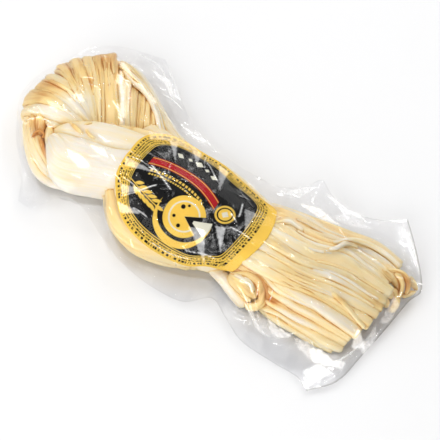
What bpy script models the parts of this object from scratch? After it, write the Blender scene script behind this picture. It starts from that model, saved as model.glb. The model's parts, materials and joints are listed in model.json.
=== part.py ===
"""A braided string cheese sealed in a clear vacuum bag, with a label over its middle.

The pack lies on a table: +X runs from the looped head of the braid to its cut strings, +Y is the
far side and +Z is up. The origin is under the middle of the pack. Two solids are made:

  sealed_bag  the clear bag drawn tight over the braid, as one solid out to its flat welded rim
  label       the printed label that wraps over the middle of the braid

Lengths below are in millimetres; the meshes are scaled to metres at the end.
"""

import math

import bmesh
import bpy
import numpy as np

MM = 0.001

# The bag: a flat pouch whose four edges were drawn in when the air was taken out.
FILM_RIM = 1.0  # thickness of the welded rim
RIM_RIPPLE = 0.9  # height of the soft waves along the rim
RIM_RIPPLE_PITCH = 34.0
CELLS_ALONG = 168
CELLS_ACROSS = 88
BAG_TRIANGLES = 7900

# Corners and pulled-in points of each edge: x, y and height over the table.
HEAD_EDGE = [
    (-108, -69, 4), (-119, -50, 9), (-136, -33, 14), (-152, -8, 17), (-154, 8, 18),
    (-149, 27, 18), (-137, 56, 16), (-118, 70, 15), (-86, 77.5, 15),
]
TAIL_EDGE = [
    (126, -77.5, 3), (139, -62, 4), (143.5, -40, 5), (147.5, -16, 6),
    (151, 8, 8), (154, 20, 10), (139, 40, 13), (123, 57, 15),
]
NEAR_EDGE = [
    (-108, -69, 4), (-96, -68, 4), (-84, -52, 8), (-70, -50, 9), (-52, -57, 7),
    (-34, -65, 5), (-14, -70, 4), (6, -72, 4), (28, -70, 5), (43, -59, 8),
    (56, -64, 6), (74, -72, 4), (98, -73, 3), (116, -73, 3), (126, -77.5, 3),
]
FAR_EDGE = [
    (-86, 77.5, 15), (-72, 67, 13), (-55, 54, 12), (-36, 42, 12), (-14, 35, 12),
    (12, 32, 12), (36, 33, 12), (53, 42, 14), (60, 51, 17), (72, 46, 14),
    (90, 44, 12), (108, 48, 13), (123, 57, 15),
]

# The braid's head: the skein loops back on itself in a bun around its root.
HEAD_ROOT = (-88.0, 2.0)
# angle in degrees round the root, reach to the outside, height of the crest
HEAD_SHAPE = [
    (0, 40, 34), (36, 46, 34), (63, 46, 37), (91, 54, 40), (118, 64, 41), (145, 63, 41), (169, 59, 39),
    (192, 60, 35), (215, 56, 30), (243, 53, 28), (272, 50, 30), (308, 46, 32), (340, 40, 34),
]
HEAD_CREST = 0.52  # where the crest stands, as a share of the reach
HEAD_DIP = 5.0  # how far the pleats sink towards the root
PLEAT_ROOT = (-82.0, -20.0)  # where the pleats would meet, under the front ply
PLEATS = 15  # strings bent over the head between the two angles below
PLEAT_ANGLES = (28.0, 212.0)
PLEAT_DEPTH = 3.6
PLEAT_WANDER = 0.55  # how far the pleats stray from even spacing, in pleats

# Plies of the twist, each swept along a spine: x, y, half width, crest height.
FRONT_PLY = [
    (-94, -22, 20, 37), (-80, -20, 25, 42), (-62, -13, 25, 43), (-42, -10, 26, 43),
    (-16, -14, 30, 43), (12, -16, 31, 41), (36, -15, 29, 36), (52, -13, 25, 31),
]
NEAR_PLY = [
    (-50, -20, 16, 26), (-38, -32, 21, 32), (-20, -39, 23, 34),
    (2, -39, 21, 33), (24, -34, 19, 31), (44, -29, 18, 26),
]
FAR_PLY = [(-60, 22, 14, 31), (-40, 13, 17, 35), (-18, 8, 20, 37), (8, 5, 21, 36), (32, 1, 19, 31)]
PLY_RIB = 1.3  # depth of the grooves between the strings of the front ply
PLY_RIB_PITCH = 8.5

# Loose strings past the label, laid side by side under an arch.
STRINGS = 11
STRING_RADIUS = 3.5
FAN_START = 30.0
FAN_NEAR = [(30, -38), (52, -39), (78, -39), (104, -39), (136, -37)]  # middle of the outermost strings: x, y
FAN_FAR = [(30, 6), (52, 12), (78, 19), (104, 22), (140, 19)]
FAN_CREST = [(30, 36), (55, 31), (90, 27), (140, 20)]  # x, height of the arch
FAN_EDGE_HEIGHT = 12.0
FAN_ENDS = (136.0, 145.0)  # where the nearest and the farthest string are cut
STRING_SWAY = 1.6  # how far each string wanders sideways
STRING_LIFT = 0.8  # how far single strings stand out of the arch or sink into it
STRING_SPREAD = 0.12  # variation of the radius, as a share
CUT_SPREAD = 2.0  # how unevenly the strings are cut
BUNDLE_SINK = 0.5  # depth of the bundle's surface under the strings' backs, in string radii

# The string that ties the bundle, and the curled end of it.
TIE = [(40, -36, 5.0, 25), (54, -33, 5.0, 25), (64, -34, 4.5, 23), (71, -38, 4.0, 18), (75, -43, 3.5, 13)]
CURL = [(46, -44, 6.0, 18), (55, -48, 6.5, 19), (64, -47, 6.0, 18)]

WAIST = 0.42  # height of a body's widest level, as a share of its crest
FLATTENED = 1.8  # how far an underside would reach below the table, had it not been pressed flat
ROUNDNESS = 2.3  # exponent of the cross-sections
DRAPE = 5.0  # reach of the fillet between neighbouring bodies
STRING_DRAPE = 1.2  # the same between neighbouring strings
UNDERSIDE_REACH = 2  # cells over which the underside is pulled level

# The label: x, y of its near and far edge, from the head towards the strings.
LABEL_THICKNESS = 0.5
LABEL_GAP = 0.55
LABEL_CELLS = (24, 18)
LABEL_NEAR = [(-51, -22), (-46, -38), (-34, -50), (-18, -57), (2, -58.5), (20, -53), (34, -46), (47, -39)]
LABEL_FAR = [(-51, -10), (-47, 6), (-36, 16), (-20, 20), (0, 20), (18, 16), (36, 10), (50, 6)]
LABEL_BOW = 4.5  # how far the band at the strings' end bows out


def clear_scene():
    for old in list(bpy.data.objects):
        bpy.data.objects.remove(old, do_unlink=True)


def smooth_curve(points, count):
    """Evenly spaced samples of the Catmull-Rom curve through points of any dimension."""
    given = np.array(points, float)
    ends = [2 * given[0] - given[1]], [2 * given[-1] - given[-2]]
    p = np.concatenate([ends[0], given, ends[1]])
    t = np.linspace(0, 1, 24, endpoint=False)[:, None]
    dense = []
    for a, b, c, d in zip(p, p[1:], p[2:], p[3:]):
        bend, twist = 2 * a - 5 * b + 4 * c - d, 3 * b - a - 3 * c + d
        dense.append(0.5 * (2 * b + (c - a) * t + bend * t**2 + twist * t**3))
    dense = np.concatenate(dense + [given[-1:]])
    steps = np.linalg.norm(np.diff(dense[:, :2], axis=0), axis=1)
    along = np.concatenate([[0], np.cumsum(steps)])
    wanted = np.linspace(0, along[-1], count)
    return np.stack([np.interp(wanted, along, dense[:, k]) for k in range(dense.shape[1])], axis=1)


def smooth_max(a, b, blend=DRAPE):
    """The higher of two surfaces, with a fillet where they are close."""
    closeness = np.clip(blend - np.abs(a - b), 0, None) / blend
    return np.maximum(a, b) + closeness**2 * blend / 4


def dome(ratio, crest):
    """Upper and lower surface of a rounded body that lies on the table, at a share of its half width."""
    waist = WAIST * crest
    swell = np.sqrt(np.clip(1 - np.clip(ratio, 0, 1) ** ROUNDNESS, 0, 1))
    inside = ratio < 1
    top = np.where(inside, waist + (crest - waist) * swell, -FLATTENED)
    under = np.where(inside, np.maximum(waist - (waist + FLATTENED) * swell, 0), crest)
    return top, under


def ribs(phase):
    """Rounded strings side by side: 0 on each string's back and 1 in the groove beside it."""
    return 1 - np.sqrt(1 - (0.94 * (2 * (phase % 1) - 1)) ** 2)


def head(x, y):
    dx, dy = x - HEAD_ROOT[0], y - HEAD_ROOT[1]
    angle = np.degrees(np.arctan2(dy, dx)) % 360
    shape = np.array(HEAD_SHAPE, float)
    reach = np.interp(angle, shape[:, 0], shape[:, 1], period=360)
    crest = np.interp(angle, shape[:, 0], shape[:, 2], period=360)
    share = np.hypot(dx, dy) / reach
    outer = np.clip((share - HEAD_CREST) / (1 - HEAD_CREST), 0, None)
    top, under = dome(outer, crest)
    inward = np.clip(1 - share / HEAD_CREST, 0, 1)
    top = top - HEAD_DIP * inward**2
    first, last = PLEAT_ANGLES
    bend = np.degrees(np.arctan2(y - PLEAT_ROOT[1], x - PLEAT_ROOT[0])) % 360
    phase = PLEATS * (bend - first) / (last - first) + PLEAT_WANDER * np.sin(4 * share + bend / 13)
    pleated = (bend > first) & (bend < last) & (share < 0.97)
    fade = np.clip((1.02 - share) / 0.25, 0, 1)
    return np.where(pleated, top - PLEAT_DEPTH * fade * ribs(phase), top), under


def swept(x, y, spine, rib=0.0):
    """A ply or a string with the given spine: x, y, half width and crest height."""
    line = smooth_curve(spine, 60)
    d2 = (x[..., None] - line[:, 0]) ** 2 + (y[..., None] - line[:, 1]) ** 2
    nearest = d2.argmin(-1)
    distance = np.sqrt(np.take_along_axis(d2, nearest[..., None], -1)[..., 0])
    ratio = distance / line[nearest, 2]
    top, under = dome(ratio, line[nearest, 3])
    if np.any(rib):
        direction = np.gradient(line[:, :2], axis=0)
        side = direction[nearest, 0] * (y - line[nearest, 1]) - direction[nearest, 1] * (x - line[nearest, 0])
        lateral = np.sign(side) * distance + 2.5 * np.sin(nearest / 9)
        top = np.where(ratio < 0.97, top - rib * ribs(lateral / PLY_RIB_PITCH), top)
    return top, under


def fan_strings():
    """The spine of each loose string, from the near side to the far side."""
    near, far, crest = (np.array(points, float) for points in (FAN_NEAR, FAN_FAR, FAN_CREST))
    spines = []
    for k in range(STRINGS):
        share = k / (STRINGS - 1)
        end = FAN_ENDS[0] + (FAN_ENDS[1] - FAN_ENDS[0]) * share + CUT_SPREAD * math.sin(2.7 * k)
        x = np.linspace(FAN_START, end - STRING_RADIUS, 9)
        low, high = np.interp(x, near[:, 0], near[:, 1]), np.interp(x, far[:, 0], far[:, 1])
        y = low + (high - low) * share + STRING_SWAY * np.sin(x / 13 + 2.1 * k)
        arch = 1 - abs(2 * share - 1) ** 2.4
        top = FAN_EDGE_HEIGHT + (np.interp(x, crest[:, 0], crest[:, 1]) - FAN_EDGE_HEIGHT) * arch
        radius = STRING_RADIUS * (1 + STRING_SPREAD * math.sin(1.9 * k))
        spines.append([(a, b, radius, c) for a, b, c in zip(x, y, top + STRING_LIFT * math.sin(3.3 * k))])
    return spines


def fan_bundle(x, y):
    """The mass of loose strings under the top layer, cut square at its end."""
    near, far, crest = (np.array(points, float) for points in (FAN_NEAR, FAN_FAR, FAN_CREST))
    low, high = np.interp(x, near[:, 0], near[:, 1]), np.interp(x, far[:, 0], far[:, 1])
    share = (y - low) / (high - low)
    end = FAN_ENDS[0] + (FAN_ENDS[1] - FAN_ENDS[0]) * share - STRING_RADIUS
    ratio = np.abs(2 * share - 1) * (high - low) / (high - low + 1.6 * STRING_RADIUS)
    ratio = np.where((x > FAN_START) & (x < end), ratio, 1)
    return dome(ratio, np.interp(x, crest[:, 0], crest[:, 1]) - BUNDLE_SINK * STRING_RADIUS)


def cheese(x, y):
    """Upper and lower surface of everything in the bag."""
    top, under = head(x, y)
    front = swept(x, y, FRONT_PLY, rib=PLY_RIB * (x < LABEL_NEAR[0][0]))
    bodies = [front, swept(x, y, NEAR_PLY), swept(x, y, FAR_PLY), fan_bundle(x, y)]
    strings = [swept(x, y, spine) for spine in fan_strings() + [TIE, CURL]]
    for body_top, body_under in bodies:
        top = smooth_max(top, body_top)
        under = np.minimum(under, body_under)
    for string_top, string_under in strings:
        top = smooth_max(top, string_top, STRING_DRAPE)
        under = np.minimum(under, string_under)
    return top, under


def bag_grid():
    """The Coons patch between the bag's four edges: x, y and height of its welded middle plane."""
    u = np.linspace(0, 1, CELLS_ALONG + 1)[:, None, None]
    v = np.linspace(0, 1, CELLS_ACROSS + 1)[None, :, None]
    near = smooth_curve(NEAR_EDGE, CELLS_ALONG + 1)[:, None, :]
    far = smooth_curve(FAR_EDGE, CELLS_ALONG + 1)[:, None, :]
    head_end = smooth_curve(HEAD_EDGE, CELLS_ACROSS + 1)[None, :, :]
    tail_end = smooth_curve(TAIL_EDGE, CELLS_ACROSS + 1)[None, :, :]
    corners = (1 - v) * ((1 - u) * near[:1] + u * near[-1:]) + v * ((1 - u) * far[:1] + u * far[-1:])
    patch = (1 - v) * near + v * far + (1 - u) * head_end + u * tail_end - corners
    wave = np.sin(2 * math.pi * patch[..., 0] / RIM_RIPPLE_PITCH) * np.cos(patch[..., 1] / 11)
    patch[..., 2] += RIM_RIPPLE * wave
    return patch


def eased(heights):
    """The film bridges sharp hollows: each height moves towards the mean of its neighbours."""
    padded = np.pad(heights, 1, mode="edge")
    mean = (padded[:-2, 1:-1] + padded[2:, 1:-1] + padded[1:-1, :-2] + padded[1:-1, 2:]) / 4
    return 0.5 * (heights + mean)


def stretched(heights, cells):
    """The taut underside closes hollows narrower than this many cells: the lowest height nearby."""
    for _ in range(cells):
        padded = np.pad(heights, 1, mode="edge")
        along = np.minimum(padded[:-2, 1:-1], padded[2:, 1:-1])
        across = np.minimum(padded[1:-1, :-2], padded[1:-1, 2:])
        heights = np.minimum(heights, np.minimum(along, across))
    return heights


def closed_sheet(name, upper, lower):
    """One solid between two grids of points with the same rim outline, in millimetres."""
    rows, columns = upper.shape[:2]
    bm = bmesh.new()
    top, bottom = ([[bm.verts.new(p * MM) for p in line] for line in grid] for grid in (upper, lower))
    for i in range(rows - 1):
        for j in range(columns - 1):
            bm.faces.new((top[i][j], top[i + 1][j], top[i + 1][j + 1], top[i][j + 1]))
            bm.faces.new((bottom[i][j], bottom[i][j + 1], bottom[i + 1][j + 1], bottom[i + 1][j]))
    rim = [(i, 0) for i in range(rows)] + [(rows - 1, j) for j in range(1, columns)]
    rim += [(i, columns - 1) for i in range(rows - 2, -1, -1)] + [(0, j) for j in range(columns - 2, 0, -1)]
    for (i, j), (k, m) in zip(rim, rim[1:] + rim[:1]):
        bm.faces.new((top[i][j], bottom[i][j], bottom[k][m], top[k][m]))
    bmesh.ops.triangulate(bm, faces=bm.faces)
    mesh = bpy.data.meshes.new(name)
    bm.to_mesh(mesh)
    bm.free()
    return mesh


def lightened(mesh, triangles):
    """The same mesh with fewer triangles, still resting flat on the table."""
    draft = bpy.data.objects.new("draft", mesh)
    bpy.context.scene.collection.objects.link(draft)
    decimate = draft.modifiers.new("Decimate", "DECIMATE")
    decimate.ratio = triangles / len(mesh.polygons)
    decimate.use_collapse_triangulate = True
    light = bpy.data.meshes.new_from_object(draft.evaluated_get(bpy.context.evaluated_depsgraph_get()))
    bpy.data.objects.remove(draft)
    for vertex in light.vertices:
        if vertex.co.z < 0.15 * MM:
            vertex.co.z = 0
    return light


def finish(name, colour, roughness):
    material = bpy.data.materials.new(name)
    material.use_nodes = True
    surface = material.node_tree.nodes["Principled BSDF"]
    surface.inputs["Base Color"].default_value = (*colour, 1)
    surface.inputs["Roughness"].default_value = roughness
    surface.inputs["Metallic"].default_value = 0
    return material


def add_piece(name, mesh, material):
    mesh.name = name
    mesh.materials.clear()
    mesh.materials.append(material)
    mesh.shade_smooth()
    mesh.set_sharp_from_angle(angle=math.radians(40))
    piece = bpy.data.objects.new(name, mesh)
    bpy.context.scene.collection.objects.link(piece)
    return piece


def make_bag():
    """The tight bag with the braid in it."""
    patch = bag_grid()
    top, under = cheese(patch[..., 0], patch[..., 1])
    upper, lower = patch.copy(), patch.copy()
    upper[..., 2] = eased(smooth_max(patch[..., 2] + FILM_RIM / 2, top))
    lower[..., 2] = np.minimum(patch[..., 2] - FILM_RIM / 2, stretched(under, UNDERSIDE_REACH))
    mesh = lightened(closed_sheet("bag", upper, lower), BAG_TRIANGLES)
    return add_piece("sealed_bag", mesh, finish("clear_film_over_cheese", (0.93, 0.78, 0.5), 0.25))


def label_grid():
    """x, y over the label, from its rounded head end to the bowed band at the strings' end."""
    along, across = LABEL_CELLS
    near, far = smooth_curve(LABEL_NEAR, along + 1), smooth_curve(LABEL_FAR, along + 1)
    v = np.linspace(0, 1, across + 1)[None, :, None]
    grid = (1 - v) * near[:, None, :] + v * far[:, None, :]
    u = np.linspace(0, 1, along + 1)[:, None]
    grid[..., 0] += LABEL_BOW * u**3 * (1 - (2 * v[..., 0] - 1) ** 2)
    return grid


def make_label():
    """The label, a thin shell that follows the film over the twist."""
    grid = label_grid()
    x, y = grid[..., 0], grid[..., 1]
    step = 0.5
    height = cheese(x, y)[0]
    slope_x = (cheese(x + step, y)[0] - cheese(x - step, y)[0]) / (2 * step)
    slope_y = (cheese(x, y + step)[0] - cheese(x, y - step)[0]) / (2 * step)
    normal = np.stack([-slope_x, -slope_y, np.ones_like(x)], axis=-1)
    normal /= np.linalg.norm(normal, axis=-1, keepdims=True)
    surface = np.stack([x, y, height], axis=-1)
    lower = surface + LABEL_GAP * normal
    upper = lower + LABEL_THICKNESS * normal
    mesh = closed_sheet("label", upper, lower)
    return add_piece("label", mesh, finish("printed_label", (0.03, 0.03, 0.03), 0.35))


def main():
    clear_scene()
    make_bag()
    make_label()


main()
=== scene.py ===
"""Braided string cheese in a clear vacuum bag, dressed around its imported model.

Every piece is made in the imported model's frame: +X runs from the looped head of the braid to its
cut strings, +Y is the far side, +Z is up from the table. Routes and shapes below are in millimetres
of a pack of the usual length; MM turns them into metres of the model that was loaded.
"""

import json
import math

import bpy
import numpy as np
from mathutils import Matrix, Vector
from mathutils.bvhtree import BVHTree

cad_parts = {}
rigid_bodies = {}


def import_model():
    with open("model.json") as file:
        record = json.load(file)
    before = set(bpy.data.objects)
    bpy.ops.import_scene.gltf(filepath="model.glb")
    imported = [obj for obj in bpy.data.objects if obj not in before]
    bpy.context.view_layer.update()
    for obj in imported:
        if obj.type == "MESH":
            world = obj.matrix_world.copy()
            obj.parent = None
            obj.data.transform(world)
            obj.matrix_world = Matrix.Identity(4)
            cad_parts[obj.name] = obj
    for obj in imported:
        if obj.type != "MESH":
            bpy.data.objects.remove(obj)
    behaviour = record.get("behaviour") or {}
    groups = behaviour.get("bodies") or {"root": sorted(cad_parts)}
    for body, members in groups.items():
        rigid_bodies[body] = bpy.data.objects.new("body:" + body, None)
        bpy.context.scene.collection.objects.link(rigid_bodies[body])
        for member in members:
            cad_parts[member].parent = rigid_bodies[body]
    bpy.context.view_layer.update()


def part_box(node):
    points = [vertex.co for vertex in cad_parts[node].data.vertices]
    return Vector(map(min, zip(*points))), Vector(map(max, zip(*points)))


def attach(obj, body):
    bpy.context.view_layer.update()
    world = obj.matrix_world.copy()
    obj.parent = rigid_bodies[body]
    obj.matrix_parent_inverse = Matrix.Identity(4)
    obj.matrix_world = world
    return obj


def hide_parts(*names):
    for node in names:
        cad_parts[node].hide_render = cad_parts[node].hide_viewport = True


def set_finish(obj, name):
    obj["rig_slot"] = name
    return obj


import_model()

bl_info = {
    "name": "Braided string cheese",
    "version": (1, 0, 0),
    "blender": (4, 5, 0),
    "location": "3D View > Sidebar > Cheese",
    "description": "Builds a vacuum packed braid of string cheese around its packed model",
    "category": "Add Mesh",
}

BAG_LOW, BAG_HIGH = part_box("sealed_bag")
USUAL_LENGTH = 308.9
MM = (BAG_HIGH.x - BAG_LOW.x) / USUAL_LENGTH
SEED = 20
FULL_TURN = 2 * math.pi
UP = Vector((0, 0, 1))
FAR_AWAY = 1e9

# Strands. Lengths are in millimetres here too.
PHASES = (0, 6.3)  # the least and the most that a wave is shifted by chance
STEEP = 0.45  # where a path is less level than this, its sides keep their direction
FINE_GROOVE, BROAD_GROOVE = 0.6, 1.6
LOWEST = 0.6  # no strand comes nearer to the table than this
PLEAT_DEPTH = 4.5  # from the outside of the head to the core under its pleats
PLEAT_ENDING = ((1.0, 0.62), (0.99, 0.34), (0.92, 0.12))  # shares of a pleat's reach and height, going down

# Label and film.
LABEL_LIFT = 0.5  # height of the label's top over the cheese
CORNER_CUT, CORNER_SPREAD = 1.6, 3  # how much the border rounds off its corners, and how far from them
RIBBON_BOW = 0.011  # how fast the ribbon curves away from its middle
FILM_SPAN = (310, 140)  # along and across; the setting for the cell divides it into rows and columns
FINEST_FILM = (392, 198)  # the most rows and columns that the film may have
RIM_GAP = 0.12  # from the weld's middle plane to each film
FOLD_STEPS = 23  # straight parts of a fold's crest
STRAY_FOLDS, WRINKLES = 36, 115  # how many there are in the loose film, and over the cheese

# Stage.
TABLE_SIZE = 3.2  # in metres
AIM = (19.5, -12.5, 18)  # what the camera looks at
GLINTS = (  # direction of each small lamp: degrees round the pack and over the table
    (205, 70), (245, 50), (165, 52), (285, 58), (120, 56), (330, 66), (80, 68), (215, 57), (190, 79),
)


# ---------------------------------------------------------------- routes, in millimetres

# The bag's four edges: x, y and height over the table.
HEAD_EDGE = [
    (-108, -69, 4), (-119, -50, 9), (-136, -33, 14), (-152, -8, 17), (-154, 8, 18),
    (-149, 27, 18), (-137, 56, 16), (-118, 70, 15), (-86, 77.5, 15),
]
TAIL_EDGE = [
    (126, -77.5, 3), (139, -62, 4), (143.5, -40, 5), (147.5, -16, 6),
    (151, 8, 8), (154, 20, 10), (139, 40, 13), (123, 57, 15),
]
NEAR_EDGE = [
    (-108, -69, 4), (-96, -68, 4), (-84, -52, 8), (-70, -50, 9), (-52, -57, 7),
    (-34, -65, 5), (-14, -70, 4), (6, -72, 4), (28, -70, 5), (43, -59, 8),
    (56, -64, 6), (74, -72, 4), (98, -73, 3), (116, -73, 3), (126, -77.5, 3),
]
FAR_EDGE = [
    (-86, 77.5, 15), (-72, 67, 13), (-55, 54, 12), (-36, 42, 12), (-14, 35, 12),
    (12, 32, 12), (36, 33, 12), (53, 42, 14), (60, 51, 17), (72, 46, 14),
    (90, 44, 12), (108, 48, 13), (123, 57, 15),
]

# The head's dome: angle round the root in degrees, reach to its outside, height of its crest.
HEAD_ROOT = (-88.0, 2.0)
HEAD_SHAPE = [
    (0, 40, 34), (36, 46, 34), (63, 46, 37), (91, 54, 40), (118, 64, 41), (145, 63, 41), (169, 59, 39),
    (192, 60, 35), (215, 56, 30), (243, 53, 28), (272, 50, 30), (308, 46, 32), (340, 40, 34),
]
WAIST = 0.42  # height of the dome's widest line, as a share of its crest
PLEAT_SWELL = 1.0  # how far the pleats are pushed out past their routes

# Routes below give x, y, height of the back and half width; a fifth number is the golden tint there.

# Plies of the twist.
FRONT_PLY = [
    (-109, -21, 30, 5, 0.2), (-104, -25.4, 35.5, 9.4, 0.12), (-96, -29, 39.5, 14.5, 0.05),
    (-86, -31.4, 41.5, 19.4, 0), (-72, -28, 42.5, 19.2, 0), (-58, -23.4, 42.5, 17, 0),
    (-44, -18, 42.3, 18, 0.05), (-26, -16, 42.3, 22, 0.1), (6, -17, 41, 29, 0.2), (36, -15, 35, 28, 0.2),
    (56, -13, 28, 23, 0.2),
]
FRONT_UPPER = [
    (-112, -20, 27, 3, 0.4), (-107, -20.5, 33, 5, 0.3), (-101, -18.5, 37.4, 6.5, 0.15),
    (-94, -16, 39.6, 8, 0.1), (-85, -12.5, 40.6, 9, 0.08), (-75, -9.5, 41, 9.5, 0.06),
    (-63, -6.5, 41, 10.5, 0.1), (-50, -3.5, 40.6, 11.5, 0.12), (-34, -1, 39.5, 11, 0.1),
    (-16, 0, 38, 11, 0.1),
]
FRONT_TOP = [
    (-93, -10, 34, 1.5, 0.6), (-84, -6, 36.6, 2.5, 0.5), (-76, -2, 37.4, 3.5, 0.42),
    (-67, 2, 37.4, 4.5, 0.4), (-56, 6, 36.6, 5.5, 0.36), (-46, 9, 35, 6, 0.35), (-34, 12, 32, 6, 0.3),
]
NEAR_STRANDS = [
    [(-58, -22, 27, 6, 0.42), (-52, -30.5, 29, 8, 0.5), (-44.6, -38.2, 30.5, 9, 0.56),
     (-33.6, -46.2, 31, 10.5, 0.55), (-18, -50.6, 31, 11, 0.5), (2, -46.6, 30, 10.5, 0.46),
     (24, -39, 28, 9.5, 0.42)],
    [(-60, -28, 19, 4, 0.5), (-54, -35, 21, 5, 0.5), (-46.6, -42.4, 23, 5.4, 0.5),
     (-36, -50, 23.5, 6, 0.5), (-20, -54.6, 23, 6, 0.5), (0, -51, 22, 6, 0.5), (21, -42.4, 20, 6, 0.5)],
    [(-48, -18, 33, 9, 0.3), (-38, -31, 37, 12, 0.3), (-20, -37, 38, 13, 0.3), (2, -36, 37, 13, 0.3),
     (24, -30, 33, 12, 0.3), (44, -25, 28, 10, 0.3)],
    [(-53, -32, 12, 3, 0.5), (-46.4, -41.8, 14, 4, 0.5), (-36.4, -50, 14, 4.4, 0.5),
     (-20.6, -55, 14, 4.6, 0.5), (2, -51, 13, 4.6, 0.5), (24, -41.6, 12, 4.4, 0.5)],
]
FAR_STRANDS = [
    [(-64, 19, 28, 8, 0.2), (-40, 10, 33, 11, 0.2), (-18, 4, 36, 13, 0.2), (8, 1, 35.5, 14, 0.2),
     (36, -3, 31, 13, 0.2)],
    [(-58, 21, 17, 4, 0.3), (-46, 21, 21, 6, 0.3), (-34, 20, 23, 6.5, 0.3), (-14, 19, 23, 6.5, 0.3),
     (8, 15, 22, 6.5, 0.3), (30, 11, 21, 6, 0.3), (50, 8, 19, 5, 0.3), (66, 9, 15, 3.6, 0.3)],
    [(-66, 27, 9, 3, 0.3), (-55, 26, 12, 4.4, 0.3), (-44, 25.4, 14, 5, 0.3), (-26, 24.5, 14, 5, 0.3),
     (-4, 23, 14, 5, 0.3), (20, 19.5, 13, 5, 0.3), (44, 17, 12, 4.6, 0.3), (60, 16.5, 10, 4, 0.3),
     (76, 18, 7, 3, 0.3)],
]

# The lowest strings, on the table, with how thick each is.
UNDER_STRINGS = (
    ([(-137, -13, 6.4, 2.6, 0.3), (-131, -22, 6.6, 3.4, 0.3), (-124, -30, 6.6, 3.6, 0.2),
      (-114, -37.4, 6.6, 3.6, 0.15), (-103, -41.4, 6.4, 3.6, 0.1), (-90, -41.6, 6.2, 3.6, 0.05),
      (-76, -38.4, 6.2, 3.6, 0.05), (-62, -31, 6, 3, 0.1)], 6),
    ([(-118, -24, 14, 8, 0.2), (-104, -29, 16, 12, 0.1), (-88, -31, 17, 13.5, 0.04),
      (-70, -27.5, 17, 13.5, 0.04), (-52, -22, 16, 12, 0.1)], 16),
    ([(-52, -30, 5.4, 2.4, 0.5), (-45, -39, 5.6, 3.6, 0.5), (-35, -48, 5.8, 4.2, 0.5),
      (-20, -52.6, 6, 4.4, 0.5), (2, -49, 5.8, 4.4, 0.5), (24, -40, 5.4, 4, 0.5),
      (44, -36, 5, 3.6, 0.5)], 5.4),
    ([(-124, 43, 8, 3, 0.4), (-116, 50, 8.2, 3.4, 0.35), (-106, 54.4, 8.6, 3.6, 0.3),
      (-94, 53, 9.4, 3.8, 0.24), (-82, 48.4, 9.8, 3.8, 0.2), (-70, 41.8, 9.8, 3.8, 0.2),
      (-56, 33.4, 9.4, 3.6, 0.2), (-40, 27.4, 9, 3.4, 0.2), (-20, 24.4, 8.4, 3, 0.2)], 5.4),
    ([(-128, 36, 4.8, 3.2, 0.4), (-118, 45, 5, 3.6, 0.4), (-106, 51, 5.2, 3.8, 0.35),
      (-92, 50, 5.4, 4, 0.3), (-78, 44, 5.6, 4, 0.25), (-64, 36, 5.6, 4, 0.25),
      (-48, 28.6, 5.4, 3.8, 0.25), (-30, 25, 5.2, 3.4, 0.3), (-8, 22.6, 4.8, 3, 0.3)], 5),
    ([(-121, 50.4, 6, 3, 0.4), (-126.5, 46.6, 6.6, 3.8, 0.4), (-136, 35.6, 7, 4, 0.4),
      (-140.4, 24.2, 7, 4, 0.4), (-142.4, 12.5, 7, 4, 0.4), (-143.2, 2, 7, 4, 0.4),
      (-142.2, -9.6, 7, 4, 0.4), (-137.4, -19, 6.8, 3.8, 0.4), (-130, -27.8, 6.4, 3, 0.35)], 6.4),
)

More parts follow.
